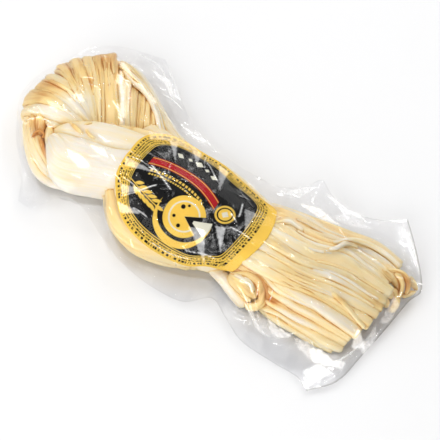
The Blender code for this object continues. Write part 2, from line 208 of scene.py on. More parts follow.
# Pleats of the head, from the line where they go under the front ply over the crest to the far side.
PLEATS = [
    [(-106, -15, 31, 2.8, 0.2), (-113, -16, 33.5, 3.6, 0.12), (-124, -16, 31, 4.2, 0.2),
     (-132.5, -16.5, 26, 4, 0.35), (-138.5, -15.5, 18.5, 3.2, 0.4)],
    [(-98, -9, 34, 3.6, 0.25), (-106, -9, 36.5, 5, 0.12), (-116, -10, 36.5, 5.8, 0.02),
     (-127, -11, 33.5, 5.6, 0.1), (-136, -12, 27, 5, 0.3), (-143, -12, 18, 4.2, 0.4)],
    [(-97, -5, 34.5, 3, 0.2), (-107, -4, 38, 4, 0.12), (-118, -3.5, 39, 4.6, 0.42),
     (-129, -4, 36.5, 5, 0.66), (-140, -5, 29, 4.8, 0.6), (-147, -6, 21, 4.4, 0.5)],
    [(-93, -3, 35.5, 2.4, 0.2), (-102, -0.5, 38.8, 3.8, 0.1), (-112, 1, 40, 4, 0.1),
     (-122, 2, 39.5, 3.8, 0.5), (-132, 3, 35.5, 3.8, 0.76), (-142, 4, 28, 3.6, 0.6)],
    [(-90, -3, 35, 2, 0.25), (-97, 0, 38, 3, 0.14), (-108, 4.5, 41, 3.8, 0.08),
     (-117, 8, 41.6, 3.4, 0.22), (-126, 9, 39.6, 3.2, 0.2), (-134, 11, 35, 3.4, 0.32),
     (-143, 12, 27, 3.4, 0.35)],
    [(-93, -1, 36.5, 2.2, 0.2), (-102, 5, 41.4, 3.2, 0.05), (-111, 10.5, 42.6, 4, 0.4),
     (-120, 16, 41, 4.2, 0.58), (-130, 22, 35.5, 4.2, 0.6), (-140, 27, 27, 4, 0.55)],
    [(-89, -1, 36, 2.2, 0.3), (-98, 7, 41, 3, 0.14), (-107, 13.5, 42.8, 3.6, 0.38),
     (-116, 20.5, 41.6, 3.8, 0.55), (-126, 29, 35.5, 4.2, 0.6), (-135, 35, 27.5, 4, 0.55)],
    [(-87, 1, 35.5, 1.9, 0.4), (-94, 10, 40.5, 2.4, 0.3), (-101, 17, 42.6, 2.9, 0.34),
     (-110, 25, 41.6, 3.4, 0.45), (-120, 34, 36, 3.6, 0.42), (-128, 41, 28.5, 3.4, 0.4)],
    [(-84, 2, 35.5, 1.4, 0.42), (-89.5, 9.5, 39, 1.7, 0.38), (-95.5, 17, 41.6, 1.9, 0.42),
     (-103, 26, 41.6, 2.2, 0.55), (-112, 35.5, 37.4, 2.6, 0.7), (-121, 44.5, 30.5, 2.8, 0.7)],
    [(-80, 3.5, 34, 4.6, 0.5), (-85, 12, 38.5, 4.4, 0.48), (-91.5, 20.5, 41.4, 4.2, 0.56),
     (-99, 30, 41.2, 4.2, 0.58), (-108, 41, 36.4, 4, 0.62), (-116, 50, 30, 4, 0.6)],
    [(-75, 9, 33, 2.2, 0.1), (-82.5, 19.5, 36.8, 2.4, 0.05), (-90, 29.5, 37.8, 2.6, 0.1),
     (-96.4, 40, 34, 2.8, 0.2), (-102.6, 48.6, 26.5, 2.8, 0.3)],
    [(-72, 10.5, 32.5, 2.2, 0.16), (-78.5, 19, 35.8, 2.4, 0.12), (-85, 29, 36.8, 2.6, 0.16),
     (-90.4, 39.6, 33, 2.8, 0.25), (-95.6, 47.4, 25.5, 2.8, 0.3)],
    [(-68.5, 13.5, 31.5, 2.2, 0.46), (-73.5, 21, 33.8, 2.6, 0.46), (-79, 29.5, 34.6, 2.8, 0.42),
     (-84.2, 38.6, 31, 2.8, 0.4), (-88.6, 45.6, 24, 2.8, 0.4)],
    [(-64, 15.5, 30.5, 2.2, 0.5), (-69, 23, 32, 2.6, 0.5), (-74, 31, 32.6, 2.8, 0.46),
     (-78, 36.6, 30, 2.8, 0.4), (-81.6, 42.8, 24, 2.8, 0.4)],
    [(-60, 17, 29.5, 2, 0.52), (-64.5, 23, 30.6, 2.4, 0.5), (-68.5, 30, 31, 2.6, 0.48),
     (-71, 34.8, 28.6, 2.6, 0.4), (-73.6, 39.4, 24, 2.6, 0.4)],
    [(-55, 18, 28.5, 2, 0.5), (-58.5, 23, 29.4, 2.4, 0.5), (-62, 28, 29.6, 2.4, 0.48),
     (-63.6, 31.4, 27.6, 2.4, 0.4), (-65.6, 35, 23, 2.4, 0.4)],
]
# Thin strings lying on the pleats.
PLEAT_STRINGS = [
    [(-104, -6.5, 38, 0.8, 0.1), (-115, -7, 39.4, 1.2, 0.3), (-127, -7.5, 36.6, 1.6, 0.66),
     (-138, -8, 29.6, 1.6, 0.6)],
    [(-112, -1, 40.4, 0.8, 0.3), (-121, -0.5, 39.6, 1.4, 0.75), (-131, -0.5, 36, 1.6, 0.7),
     (-141, 0, 29, 1.6, 0.6)],
    [(-106, 3, 41.4, 0.8, 0.2), (-115, 5.2, 42.2, 1.3, 0.3), (-124, 6, 40.6, 1.5, 0.66),
     (-134, 7.5, 35.4, 1.6, 0.7), (-142, 8, 28.6, 1.4, 0.6)],
    [(-109, 7.2, 43, 0.8, 0.2), (-116, 11, 42.8, 1.4, 0.6), (-124, 14.5, 40, 1.6, 0.45),
     (-133, 18, 34.4, 1.6, 0.65), (-141, 20, 27.5, 1.6, 0.6)],
    [(-105, 9.5, 43, 0.8, 0.25), (-112, 15, 43.4, 1.3, 0.7), (-121, 22.5, 40, 1.6, 0.6),
     (-130, 29, 33.4, 1.6, 0.6), (-137, 33, 27, 1.5, 0.6)],
    [(-98, 11, 41.6, 0.8, 0.3), (-104, 17.5, 43.2, 1.2, 0.8), (-112, 26, 41.4, 1.4, 0.5),
     (-121, 34.5, 35.6, 1.5, 0.5)],
    [(-92, 10.5, 40.2, 0.7, 0.3), (-98, 17.5, 42.6, 1, 0.6), (-106, 26, 41.6, 1.2, 0.62),
     (-115, 36, 36.6, 1.4, 0.75), (-123, 44, 30, 1.4, 0.8)],
    [(-97, 33, 41, 1, 0.5), (-104, 41, 38.2, 1.6, 0.75), (-111, 50, 32.6, 2.2, 0.85),
     (-114, 56, 27, 2, 0.7)],
    [(-104, 32, 40.6, 0.9, 0.6), (-109, 38.5, 37.8, 1.4, 0.85), (-116, 46, 32, 1.6, 0.8)],
    [(-107, 36, 39, 0.9, 0.7), (-113, 42, 36, 1.4, 0.95), (-120, 48, 30.5, 1.5, 0.8)],
    [(-88, 15, 40.6, 0.8, 0.5), (-94, 23.5, 42.4, 1, 0.35), (-101, 32.5, 41, 1.2, 0.5),
     (-108, 42, 36.4, 1.3, 0.6)],
]
# Strings along the far side of the head, over the ends of the pleats.
RIM_STRINGS = [
    [(-104, 48, 31, 1.4, 0.1), (-93, 41, 35, 1.7, 0.05), (-84, 38, 36, 1.8, 0.06),
     (-76, 37.4, 35, 1.8, 0.08), (-67, 33.4, 33, 1.8, 0.08), (-58, 27, 31.2, 1.8, 0.06),
     (-50, 19, 30, 1.8, 0.06), (-44, 13, 29, 1.6, 0.1)],
    [(-106, 50, 30, 1.4, 0.1), (-96, 45.4, 33, 1.8, 0.1), (-87, 42.8, 33.6, 2, 0.06),
     (-78, 40.4, 33, 2, 0.1), (-69, 36, 31.6, 2, 0.1), (-60, 30.4, 29.6, 2, 0.06),
     (-50, 22, 28, 2, 0.1), (-42, 16, 27, 2, 0.1)],
    [(-107, 52, 28, 1.6, 0.2), (-98, 49.5, 30.4, 2, 0.26), (-89, 47, 31, 2.2, 0.3),
     (-79, 43, 31, 2.2, 0.34), (-69.5, 38.5, 29.6, 2.2, 0.24), (-60, 33, 28, 2.2, 0.2),
     (-49, 26, 26, 2.4, 0.2), (-36, 20, 24, 2.6, 0.2)],
    [(-109, 54, 24, 2, 0.2), (-99, 51.6, 27, 2.4, 0.14), (-89, 49.4, 28, 2.6, 0.1),
     (-79, 45, 27.6, 2.6, 0.12), (-69, 40, 26, 2.6, 0.1), (-58, 33.6, 24.4, 2.6, 0.1),
     (-46, 27, 22.6, 2.6, 0.16), (-32, 22, 21, 2.6, 0.2)],
    [(-110, 56, 19, 2.6, 0.3), (-99, 53.5, 23, 2.8, 0.24), (-88, 50.5, 24, 2.8, 0.16),
     (-77, 45.5, 23.4, 2.8, 0.2), (-67, 40, 22.4, 2.8, 0.14), (-56, 33, 21, 2.8, 0.12),
     (-42, 26, 19.6, 2.8, 0.16), (-28, 23, 18, 3, 0.2)],
    [(-108, 56.4, 12, 3, 0.3), (-96, 54, 16, 3.4, 0.24), (-84, 49.6, 17, 3.6, 0.2),
     (-72, 43, 17, 3.6, 0.2), (-60, 35, 16, 3.6, 0.2), (-46, 28, 15, 3.4, 0.16), (-30, 25, 13, 3, 0.2)],
    [(-102, 44, 34.2, 0.9, 0.3), (-94, 43.4, 35, 1.1, 0.4), (-85, 40.4, 35.4, 1.1, 0.35),
     (-77, 38.8, 34.8, 1.1, 0.4), (-68, 34.8, 33, 1.1, 0.3), (-59, 29, 31, 1, 0.3)],
    [(-103, 52, 29, 0.9, 0.4), (-92, 49, 31.2, 1.1, 0.45), (-82, 45.4, 31, 1.1, 0.35),
     (-72, 41, 29.4, 1.1, 0.4), (-62, 35.6, 27.8, 1.1, 0.35), (-52, 29, 26, 1, 0.3)],
]
# Strings that turn round the head's near end and go under the front ply.
TURN_STRINGS = [
    [(-139.6, -16.6, 12, 2.8, 0.3), (-133.2, -24.2, 13.4, 3.5, 0.24), (-126.9, -31.6, 13.4, 3.5, 0.2),
     (-116, -40.4, 12.6, 3.5, 0.16), (-106.2, -45, 12, 3.5, 0.12), (-96, -45.6, 11.6, 3.6, 0.06),
     (-86, -42.4, 11.4, 3.8, 0.03), (-76, -38.6, 11, 3.8, 0.02), (-66, -33.6, 11, 3, 0.02)],
    [(-139, -12.5, 18, 2.8, 0.46), (-134, -19.8, 20.2, 3.5, 0.45), (-128, -26.8, 20.6, 3.5, 0.35),
     (-120, -33.8, 19.6, 3.4, 0.25), (-110.6, -39.6, 18, 3.4, 0.16), (-100.4, -42.4, 16.4, 3.6, 0.08),
     (-90, -41.4, 15, 3.8, 0.03), (-80, -38, 14, 3.6, 0.02), (-70, -33.4, 13, 3, 0.02)],
    [(-136, -12.6, 24, 2.8, 0.5), (-130.6, -20.6, 25.6, 3.2, 0.5), (-124.4, -27.6, 25.4, 3.2, 0.45),
     (-117.6, -33, 24.2, 3.2, 0.3), (-109, -38, 22.2, 3.2, 0.16), (-100, -41.2, 19.6, 3, 0.1),
     (-90, -41.6, 17, 2.6, 0.06)],
    [(-131, -12.8, 28.4, 2.8, 0.5), (-127, -19.2, 30, 3.2, 0.6), (-122.2, -25.2, 30, 3.2, 0.6),
     (-117, -30.6, 29, 3, 0.45), (-110.8, -35.2, 27.2, 2.6, 0.3), (-103.4, -39.2, 24.8, 2.2, 0.4),
     (-96.4, -42.4, 21.4, 1.6, 0.8)],
    [(-126, -12.5, 31, 3, 0.4), (-123, -17, 33, 3.6, 0.4), (-119.4, -21.6, 33.6, 3.6, 0.45),
     (-116.4, -26, 32.8, 3, 0.6), (-114, -29.6, 31, 2.4, 0.7)],
    [(-130, -23, 8, 3.2, 0.3), (-117, -34, 8, 3.4, 0.2), (-104, -40.6, 8, 3.4, 0.1),
     (-92, -40, 8, 3, 0.05)],
]
# The dried end that curls over in the pocket beside the front ply.
CURLED_END = [
    [(-118.6, -34.4, 29.4, 0.5, 1.2), (-118.4, -31.4, 31.4, 0.9, 1.4), (-116.8, -28.6, 33, 1.1, 1.6),
     (-113.6, -27.8, 33.6, 1.1, 1.6), (-111.2, -29.4, 32.8, 0.8, 1.4), (-111.4, -31.4, 31.6, 0.5, 1.2)],
    [(-113.8, -30.4, 31.6, 0.9, 0.7), (-110.6, -33, 30.4, 1.3, 0.75), (-106.4, -36, 28.6, 1.4, 0.8),
     (-101.6, -39, 26, 1.3, 0.85), (-97, -41.6, 23, 1, 1.0), (-93.6, -43.4, 20.4, 0.6, 1.1)],
]
TURN_CORE = [
    (-130, -15, 26, 6, 0.6), (-122, -23.4, 28, 8, 0.8), (-113, -30, 27, 8, 0.85), (-102, -36.5, 23, 7, 0.7),
    (-90, -41.5, 17, 6, 0.6),
]
# The string along the front ply's head end, past the pocket.
POCKET_STRING = [
    (-113.5, -18, 29.5, 2.2, 0.35), (-111.4, -22.6, 32.4, 3.2, 0.4), (-107.4, -28, 33, 3.8, 0.3),
    (-101.4, -33.6, 31.6, 4, 0.16), (-94, -38.4, 28, 4, 0.06), (-86, -41, 23.4, 3.8, 0.02),
    (-77, -41, 18, 3, 0.02),
]
# Short ends that show along the line where the pleats go under the front ply.
TUCKED_ENDS = [
    [(-101.4, -15.6, 36.6, 0.6, 0.4), (-99, -14.4, 38.8, 0.8, 0.5), (-96, -15.2, 41, 1, 0.65),
     (-92.4, -16.3, 41.8, 1, 0.7), (-89, -17.2, 42, 0.8, 0.6), (-86, -17.8, 42, 0.6, 0.4)],
    [(-91, -12, 39.4, 0.6, 0.5), (-88, -9.4, 40.6, 1, 0.6), (-85.6, -6.6, 40, 0.8, 0.5)],
    [(-86.4, -13.6, 41, 0.5, 0.4), (-83.6, -15.4, 42.2, 0.8, 0.7), (-80.6, -16.5, 42.6, 0.8, 0.6),
     (-76, -17, 42.4, 0.5, 0.3)],
]

# Loose strings, from under the label to their cut ends.
LOOSE_STRINGS = [
    [(36, 14, 16, 2, 0.3), (55, 18, 17, 2.2, 0.2), (70, 20, 16.4, 2.2, 0.12), (85, 21, 15, 2.2, 0.16),
     (95, 23, 14, 2.2, 0.2), (106, 28.5, 13, 2.2, 0.2), (121, 29, 12, 2.2, 0.14), (135, 26, 11, 2, 0.2)],
    [(36, 9, 20, 2, 0.7), (49, 12.5, 22, 2.2, 0.6), (61, 14.5, 22, 2.2, 0.35),
     (73, 15.5, 21, 2.2, 0.25), (86, 17, 19, 2.2, 0.3), (95, 18.5, 17.6, 2.2, 0.4),
     (105, 24, 16, 2.2, 0.2), (120, 25, 14.6, 2.2, 0.15), (134, 22, 13, 2, 0.2)],
    [(36, 5, 23, 2.2, 0.6), (49, 7.5, 25, 2.4, 0.4), (59, 9.5, 25.6, 2.6, 0.4),
     (70, 10.5, 25, 2.6, 0.4), (80, 12.5, 23.6, 2.6, 0.3), (90, 15.5, 21.6, 2.6, 0.2),
     (100, 16.5, 20.4, 2.6, 0.08), (111, 19, 19, 2.6, 0.06), (124, 19.5, 17, 2.6, 0.1),
     (135, 18, 15, 2.2, 0.2)],
    [(38, 1, 25, 2.4, 0.5), (52, 3, 27, 2.6, 0.4), (64, 5.5, 28, 2.8, 0.22), (73, 5.5, 28, 3, 0.35),
     (83, 6, 27.4, 3, 0.48), (91, 8, 26.4, 2.8, 0.3), (98, 12, 24.4, 2.4, 0.1),
     (110, 14, 21.6, 2.4, 0.06), (124, 14.5, 18.6, 2.4, 0.06), (136, 13, 16.4, 2, 0.3)],
    [(38, -3, 28, 2.4, 0.2), (54, -1.5, 30, 2.8, 0.12), (64, -1.5, 31.2, 2.8, 0.1),
     (74, -2.5, 31.4, 2.8, 0.12), (84, -1, 30.4, 2.8, 0.06), (93, 3, 28.8, 2.8, 0.05),
     (101, 7.5, 27, 2.6, 0.04), (108, 8, 25.4, 2.4, 0.02), (116, 8, 23.4, 2.2, 0.02),
     (126, 8.5, 20.8, 2, 0.1), (135, 7, 18.4, 1.6, 0.25)],
    [(38, -9, 29, 3.4, 0.2), (54, -8, 31, 3.8, 0.2), (66, -8.5, 32, 4.2, 0.16),
     (76, -8.5, 31.8, 4.6, 0.22), (86, -7, 30.6, 4.8, 0.34), (95, -2.5, 28.8, 4.6, 0.32),
     (105, 1, 27, 4.4, 0.26), (115, 2, 24.8, 4.4, 0.3), (127, 3, 21.8, 4.4, 0.34),
     (140, 2.5, 18.4, 3.6, 0.3)],
    [(40, -14, 30, 2.8, 0.3), (54, -13.5, 31.4, 3, 0.34), (68, -13.5, 32, 3, 0.32),
     (81, -13.5, 31.6, 3, 0.3), (90, -11.5, 30.2, 3, 0.34), (99, -8.5, 28.6, 3, 0.3),
     (110, -6, 26.6, 3.2, 0.34), (121, -5.5, 24, 3.2, 0.38), (131, -4.5, 21.4, 3, 0.36),
     (140, -3, 18.8, 2.6, 0.3)],
    [(42, -20, 30, 3, 0.1), (54, -19.5, 31.2, 3.2, 0.06), (69, -18.5, 31.8, 3.4, 0.22),
     (81, -17.5, 31, 3.4, 0.16), (91, -15.5, 29.6, 3.4, 0.14), (102, -12, 28, 3.4, 0.05),
     (112, -10.5, 26, 3.4, 0.1), (123, -9.8, 23.4, 3.4, 0.16), (132, -9.5, 20.8, 3.2, 0.5),
     (140, -8, 18.6, 2.8, 0.6)],
    [(42, -25.5, 28.6, 3, 0.2), (54, -25.5, 30, 3.2, 0.22), (73, -24.5, 30.6, 3.4, 0.32),
     (85, -23.5, 29.4, 3.4, 0.3), (97, -21, 27.6, 3.4, 0.16), (106, -18.5, 26.4, 3.4, 0.1),
     (116, -17, 24.2, 3.4, 0.14), (127, -15.5, 21.8, 3.2, 0.24), (140, -14, 18, 2.8, 0.3)],
    [(44, -30, 26.6, 3, 0.3), (55, -30, 28, 3.2, 0.22), (72, -29.5, 29, 3.4, 0.3),
     (84, -28, 28, 3.4, 0.42), (95, -25.5, 26.4, 3.4, 0.36), (106, -24, 24.6, 3.2, 0.3),
     (116, -23, 22.8, 3.2, 0.4), (127, -22.5, 20, 3.2, 0.4), (139, -22, 17, 2.8, 0.4)],
    [(46, -28.6, 23, 2.6, 0.3), (58, -29, 24.6, 2.6, 0.2), (69, -30.6, 25.4, 3, 0.12),
     (80, -33, 26, 3.6, 0.08), (92, -32, 24.6, 3.8, 0.05), (104, -30.5, 22.4, 3.8, 0.05),
     (114, -30, 20.4, 3.8, 0.12), (124, -29.5, 18.4, 3.8, 0.16), (136, -30, 15, 3.2, 0.2)],
    [(50, -33, 16.4, 2.6, 0.5), (64, -33.6, 17.6, 3, 0.5), (76, -35.6, 20, 3.4, 0.4),
     (85, -36.5, 21.8, 3.6, 0.2), (95, -36, 20.4, 3.6, 0.16), (107, -34.5, 18.8, 3.6, 0.2),
     (119, -34, 16.8, 3.6, 0.3), (133, -33.5, 13.6, 3.2, 0.3)],
    [(58, -37, 11.4, 3, 0.5), (70, -39, 13.4, 3.2, 0.42), (79, -40, 15.6, 3.4, 0.28),
     (87, -40, 16.8, 3.6, 0.16), (97, -39.5, 15.8, 3.6, 0.1), (110, -38, 14.4, 3.6, 0.2),
     (123, -37.5, 12.4, 3.4, 0.4), (132, -37, 10.2, 3, 0.3)],
    [(60, -39, 7.6, 2.8, 0.4), (72, -43.5, 8.6, 3, 0.3), (86, -43.5, 11.6, 3.2, 0.24),
     (97, -43.5, 11, 3.2, 0.2), (109, -42.5, 10, 3.2, 0.24), (121, -42.5, 8.2, 3, 0.3),
     (131, -40, 6.4, 2.6, 0.3)],
    [(64, -41, 4.4, 2.6, 0.4), (80, -45, 6, 3, 0.3), (96, -45.5, 6, 3, 0.24), (112, -45, 5.4, 3, 0.24),
     (126, -44, 4.6, 2.6, 0.3)],
    [(38, 18, 10, 2.6, 0.4), (56, 22, 11, 2.8, 0.3), (74, 25, 11, 2.8, 0.3), (94, 28.5, 9.6, 2.8, 0.3),
     (114, 32, 9, 2.8, 0.3), (134, 29.5, 7.6, 2.4, 0.3)],
]
# Thin strings lying between and over the loose ones.
THIN_STRINGS = [
    [(52, 16, 20.6, 1, 0.2), (66, 18.5, 20.4, 1.4, 0.1), (82, 19.5, 18.4, 1.5, 0.12),
     (96, 22, 16.6, 1.4, 0.2)],
    [(62, 12.5, 25, 0.8, 0.3), (74, 13.5, 24.4, 1.2, 0.16), (86, 15, 22.4, 1.2, 0.24),
     (94, 17, 20.4, 1, 0.3)],
    [(68, 3, 29.6, 0.9, 0.1), (78, 3, 29.6, 1.3, 0.3), (88, 5.5, 28.4, 1.4, 0.5),
     (94, 8.5, 27, 1.1, 0.5)],
    [(56, -5, 31.4, 0.9, 0.1), (68, -5, 32.4, 1.4, 0.06), (82, -4.4, 31.4, 1.5, 0.05),
     (92, -0.5, 29.8, 1.4, 0.08)],
    [(90, -9.5, 30.8, 0.8, 0.4), (100, -5.5, 28.8, 1.2, 0.45), (112, -2.5, 26.4, 1.4, 0.4),
     (126, -1, 22.8, 1.4, 0.5), (137, 0, 19.8, 1, 0.5)],
    [(52, -16.5, 31.4, 0.9, 0.2), (68, -16, 32.4, 1.4, 0.3), (84, -15.6, 31.2, 1.4, 0.36),
     (98, -11, 29, 1.2, 0.05), (112, -8.4, 26.8, 1.3, 0.02), (126, -7.6, 23.2, 1.2, 0.04),
     (136, -6, 20.4, 1, 0.1)],
    [(60, -22, 31.4, 0.9, 0.2), (76, -21.4, 31.4, 1.3, 0.4), (90, -19.4, 29.8, 1.4, 0.34),
     (106, -15.4, 27.4, 1.3, 0.3), (122, -12.8, 24, 1.2, 0.3), (136, -11.6, 20, 1, 0.3)],
    [(66, -27.4, 30.2, 0.9, 0.3), (82, -26, 29.6, 1.3, 0.5), (98, -23, 27.2, 1.3, 0.4),
     (112, -21, 24.6, 1.2, 0.2)],
    [(76, -31, 28, 0.9, 0.3), (90, -29, 26.6, 1.3, 0.5), (104, -27, 24.4, 1.3, 0.6),
     (116, -26.4, 22, 1.2, 0.4)],
    [(84, -34.6, 24.2, 0.8, 0.1), (98, -34, 22.6, 1.2, 0.1), (112, -32.4, 20.2, 1.3, 0.1),
     (128, -31.6, 16.6, 1.1, 0.14)],
    [(80, -38.6, 19.6, 0.8, 0.2), (94, -38, 19, 1.2, 0.2), (108, -36.4, 17.4, 1.2, 0.2),
     (124, -35.6, 14.2, 1.1, 0.4)],
]
FAN_CORES = [
    [(36, -27, 23, 11, 0.6), (62, -29, 23, 12, 0.6), (96, -28, 20, 12, 0.6), (127, -26, 13.5, 10, 0.6)],
    [(36, -12, 27, 13, 0.6), (62, -12, 28.6, 13, 0.6), (96, -8, 24.6, 13, 0.6), (132, -5, 16, 11, 0.6)],
    [(36, 3, 23, 10, 0.6), (62, 6, 22.6, 11, 0.6), (96, 12, 18.6, 12, 0.6), (130, 15, 12.6, 9, 0.6)],
]
CROSSING_STRINGS = [
    [(90, 9, 25, 1.2, 0.2), (94, 12.5, 26.6, 1.6, 0.1), (98, 17, 26.4, 1.8, 0.1),
     (104, 21, 24, 1.8, 0.3), (113, 24.5, 20.6, 1.8, 0.3), (124, 25.5, 17.4, 1.8, 0.14),
     (136, 24, 13.6, 1.6, 0.2)],
    [(92, 2, 29, 1, 0.1), (96, 7, 29.4, 1.6, 0.05), (98, 12, 28, 1.8, 0.05),
     (101, 15.5, 25.6, 1.6, 0.1), (107, 18, 22.6, 1.4, 0.3)],
    [(104, -19, 23, 1, 0.2), (109, -20.5, 25.8, 1.6, 0.3), (115, -21.5, 25, 1.8, 0.7),
     (122, -22.5, 22.4, 1.8, 0.45), (130, -24.5, 19.4, 1.8, 0.4), (138, -26, 16, 1.6, 0.4)],
    [(50, -3, 28, 1, 0.6), (55, 2, 30.2, 1.8, 0.5), (60, 6, 30.8, 2, 0.1), (65, 6.4, 30, 1.8, 0.05),
     (72, 5, 29.4, 1.4, 0.15)],
    [(48, 2, 26, 1.4, 0.8), (54, 4.4, 27.4, 2, 0.7), (60, 9, 27.2, 1.8, 0.3), (68, 8, 26.8, 1.6, 0.3)],
]
# The folded ends at the far side of the cut: dried, turned down.
FOLDED_ENDS = [
    [(118, 14, 17, 4, 0.3), (129, 15.5, 17.2, 4.6, 0.4), (136, 15.4, 15.4, 4.6, 0.45),
     (141, 13, 12, 3.6, 0.5), (143.4, 9, 9, 2.6, 0.5)],
    [(120, 5, 18, 4, 0.3), (131, 5.5, 16.4, 4.6, 0.4), (138, 5.5, 13.4, 4, 0.5),
     (142.4, 3.6, 9.6, 2.8, 0.5)],
    [(128.2, 15.6, 17.6, 1, 0.35), (133, 18.4, 17.8, 1.4, 0.45), (137.6, 20, 17, 1.6, 0.55),
     (141.6, 19.8, 15.8, 1.6, 0.7), (144.8, 17.2, 14.8, 1.5, 0.85), (146.8, 13.6, 13.4, 1.4, 0.75),
     (147.2, 9.8, 11.6, 1, 0.6)],
    [(134, 16.8, 16.6, 1.1, 0.45), (138.6, 16.8, 16.4, 1.5, 0.5), (142.2, 13.8, 14.8, 1.5, 0.5),
     (143.8, 9.6, 13, 1.3, 0.55), (144.6, 5.6, 10.8, 1, 0.5)],
    [(142.4, 21.6, 12.6, 1.8, 0.4), (146.4, 21.2, 11.2, 2.4, 0.4), (150, 19.8, 9.4, 2, 0.4),
     (152.6, 18.6, 8, 0.9, 0.4)],
    [(145.6, 9.4, 9.6, 1.4, 0.6), (147.8, 12.6, 9.4, 1.8, 0.5), (150, 15.8, 8.8, 1.6, 0.45),
     (152, 18, 8, 0.8, 0.4)],
    [(138, 9, 13, 2.6, 0.5), (142.4, 6.6, 11.4, 2.6, 0.6), (144.4, 2, 8.8, 2.4, 0.6),
     (143.6, -4, 6.6, 1.8, 0.5)],
    [(126, -1, 19, 2.8, 0.4), (134.6, -1, 16, 3, 0.5), (139.4, -1.8, 12.4, 2.6, 0.55),
     (140.8, -5, 9.4, 2, 0.6)],
]
# Places where the cheese's tone is deepened: dried browning, and painted shade beside the tie, in hollows and
# inside the folded ends. Centre, radius and how much.
BROWNED_AND_SHADED_PLACES = [
    ((46, -36.5, 20), 2.6, 0.8), ((79, -42, 15), 3.4, 0.5),
    ((-94, -12, 37), 2.6, 0.5), ((-89, -7, 38), 2.6, 0.5), ((-84, -4, 38), 2.2, 0.3),
    ((-72, 3, 37), 2.4, 0.5), ((-63, 6, 36), 2.4, 0.4), ((-104, -16, 34), 2.6, 0.35),
    ((-118, -25, 31), 6, 0.3), ((-127, -24, 25), 5, 0.15),
    ((-110.5, -32, 29), 2, 0.9), ((-106, -35.2, 28), 2, 1.0), ((-101, -38.4, 26.6), 2, 0.9),
    ((-96.4, -42, 23), 3, 0.8), ((-124, -18, 30), 3, 0.2), ((141.5, 11, 13), 4, 0.15),
    ((-96.4, -16, 41.6), 1.6, 0.25), ((-78, -46, 33), 13, 0.16), ((131, 13, 17), 5, 0.25),
]
# The bundle's tie: a string round it, its curled end and what shows inside the loop, with a dark strand along
# the loop's outside as painted shadow.
TIE_LOOP = [
    (44, -39, 16.4, 1.6, 0.6), (48.9, -39.8, 19.8, 2.4, 0.5), (54.3, -37.4, 22, 3.2, 0.52),
    (59.9, -36.6, 22.8, 3.6, 0.56), (64.8, -37.2, 22.2, 3.7, 0.64), (68.6, -39.6, 20.4, 3.7, 0.72),
    (70.8, -43, 17.4, 3.4, 0.74), (71, -46.2, 13.6, 3, 0.64), (67.6, -49, 10.2, 2.8, 0.52),
    (62, -50.4, 8, 2.4, 0.35),
]
# A dark strand along the loop's outside: painted shadow between the tie and the loose strings.
TIE_PAINTED_SHADOW = [
    (46, -37.4, 18, 1.2, 0.9), (50, -36, 20.4, 1.4, 0.95), (54.6, -34.8, 21.8, 1.8, 1.0),
    (59.4, -34, 22.4, 2, 1.1), (64.6, -34.2, 22.2, 2.2, 1.15), (69.6, -36.2, 21, 2.4, 1.15),
    (73.6, -39.2, 18.6, 2.4, 1.1), (76.4, -42.8, 14.6, 2, 0.95),
]
TIE_LOWER = [
    (46.4, -42, 17.2, 1.8, 0.42), (53.4, -44.8, 18.4, 2.2, 0.42), (60.8, -47.2, 17, 2.4, 0.46),
    (67.4, -48.6, 13.4, 2.2, 0.5),
]
TIE_INSIDE = [
    (48, -41, 19, 1.8, 0.3), (55, -41.2, 21.4, 2.6, 0.14), (61, -42, 21.8, 2.6, 0.18),
    (66.4, -44.8, 19, 1.8, 0.4),
]
TIE_TAIL = [
    (30, -42, 13, 2.8, 0.1), (37, -43, 14.6, 4, 0.1), (43.7, -44.4, 15, 4.8, 0.08),
    (51.4, -47, 13.8, 5, 0.06), (59, -49.4, 11.4, 4.4, 0.12), (65.7, -50.8, 8.6, 3.4, 0.2),
]
TIE_CORE = [
    (43, -40, 15.6, 4.6, 0.5), (52, -41.2, 19.8, 6, 0.54), (60, -42.4, 20.8, 6.8, 0.56),
    (66, -44, 18.6, 6, 0.62), (70.6, -45.4, 13.4, 3.8, 0.45),
]
# Each with how thick it is.
TIE = (
    (TIE_CORE, 13), (TIE_PAINTED_SHADOW, 6), (TIE_LOOP, 8), (TIE_LOWER, 7), (TIE_INSIDE, 4), (TIE_TAIL, 9),
)

# The label's two long edges in plan, from the head towards the strings, and the bow of its end there.
LABEL_NEAR = [
    (-51, -20), (-49, -31), (-45, -38), (-37, -47), (-29, -53), (-18, -57.5), (-7, -59), (3, -58),
    (13, -55.5), (22, -52), (31, -47.5), (40, -43.5), (47, -40.5),
]
LABEL_FAR = [
    (-52, -8), (-51.5, -1), (-49, 7), (-43, 14), (-35, 18), (-21, 20), (-2, 19.5), (17, 15.5),
    (33, 13.5), (44, 12), (49, 10.5),
]
LABEL_BOW = 8
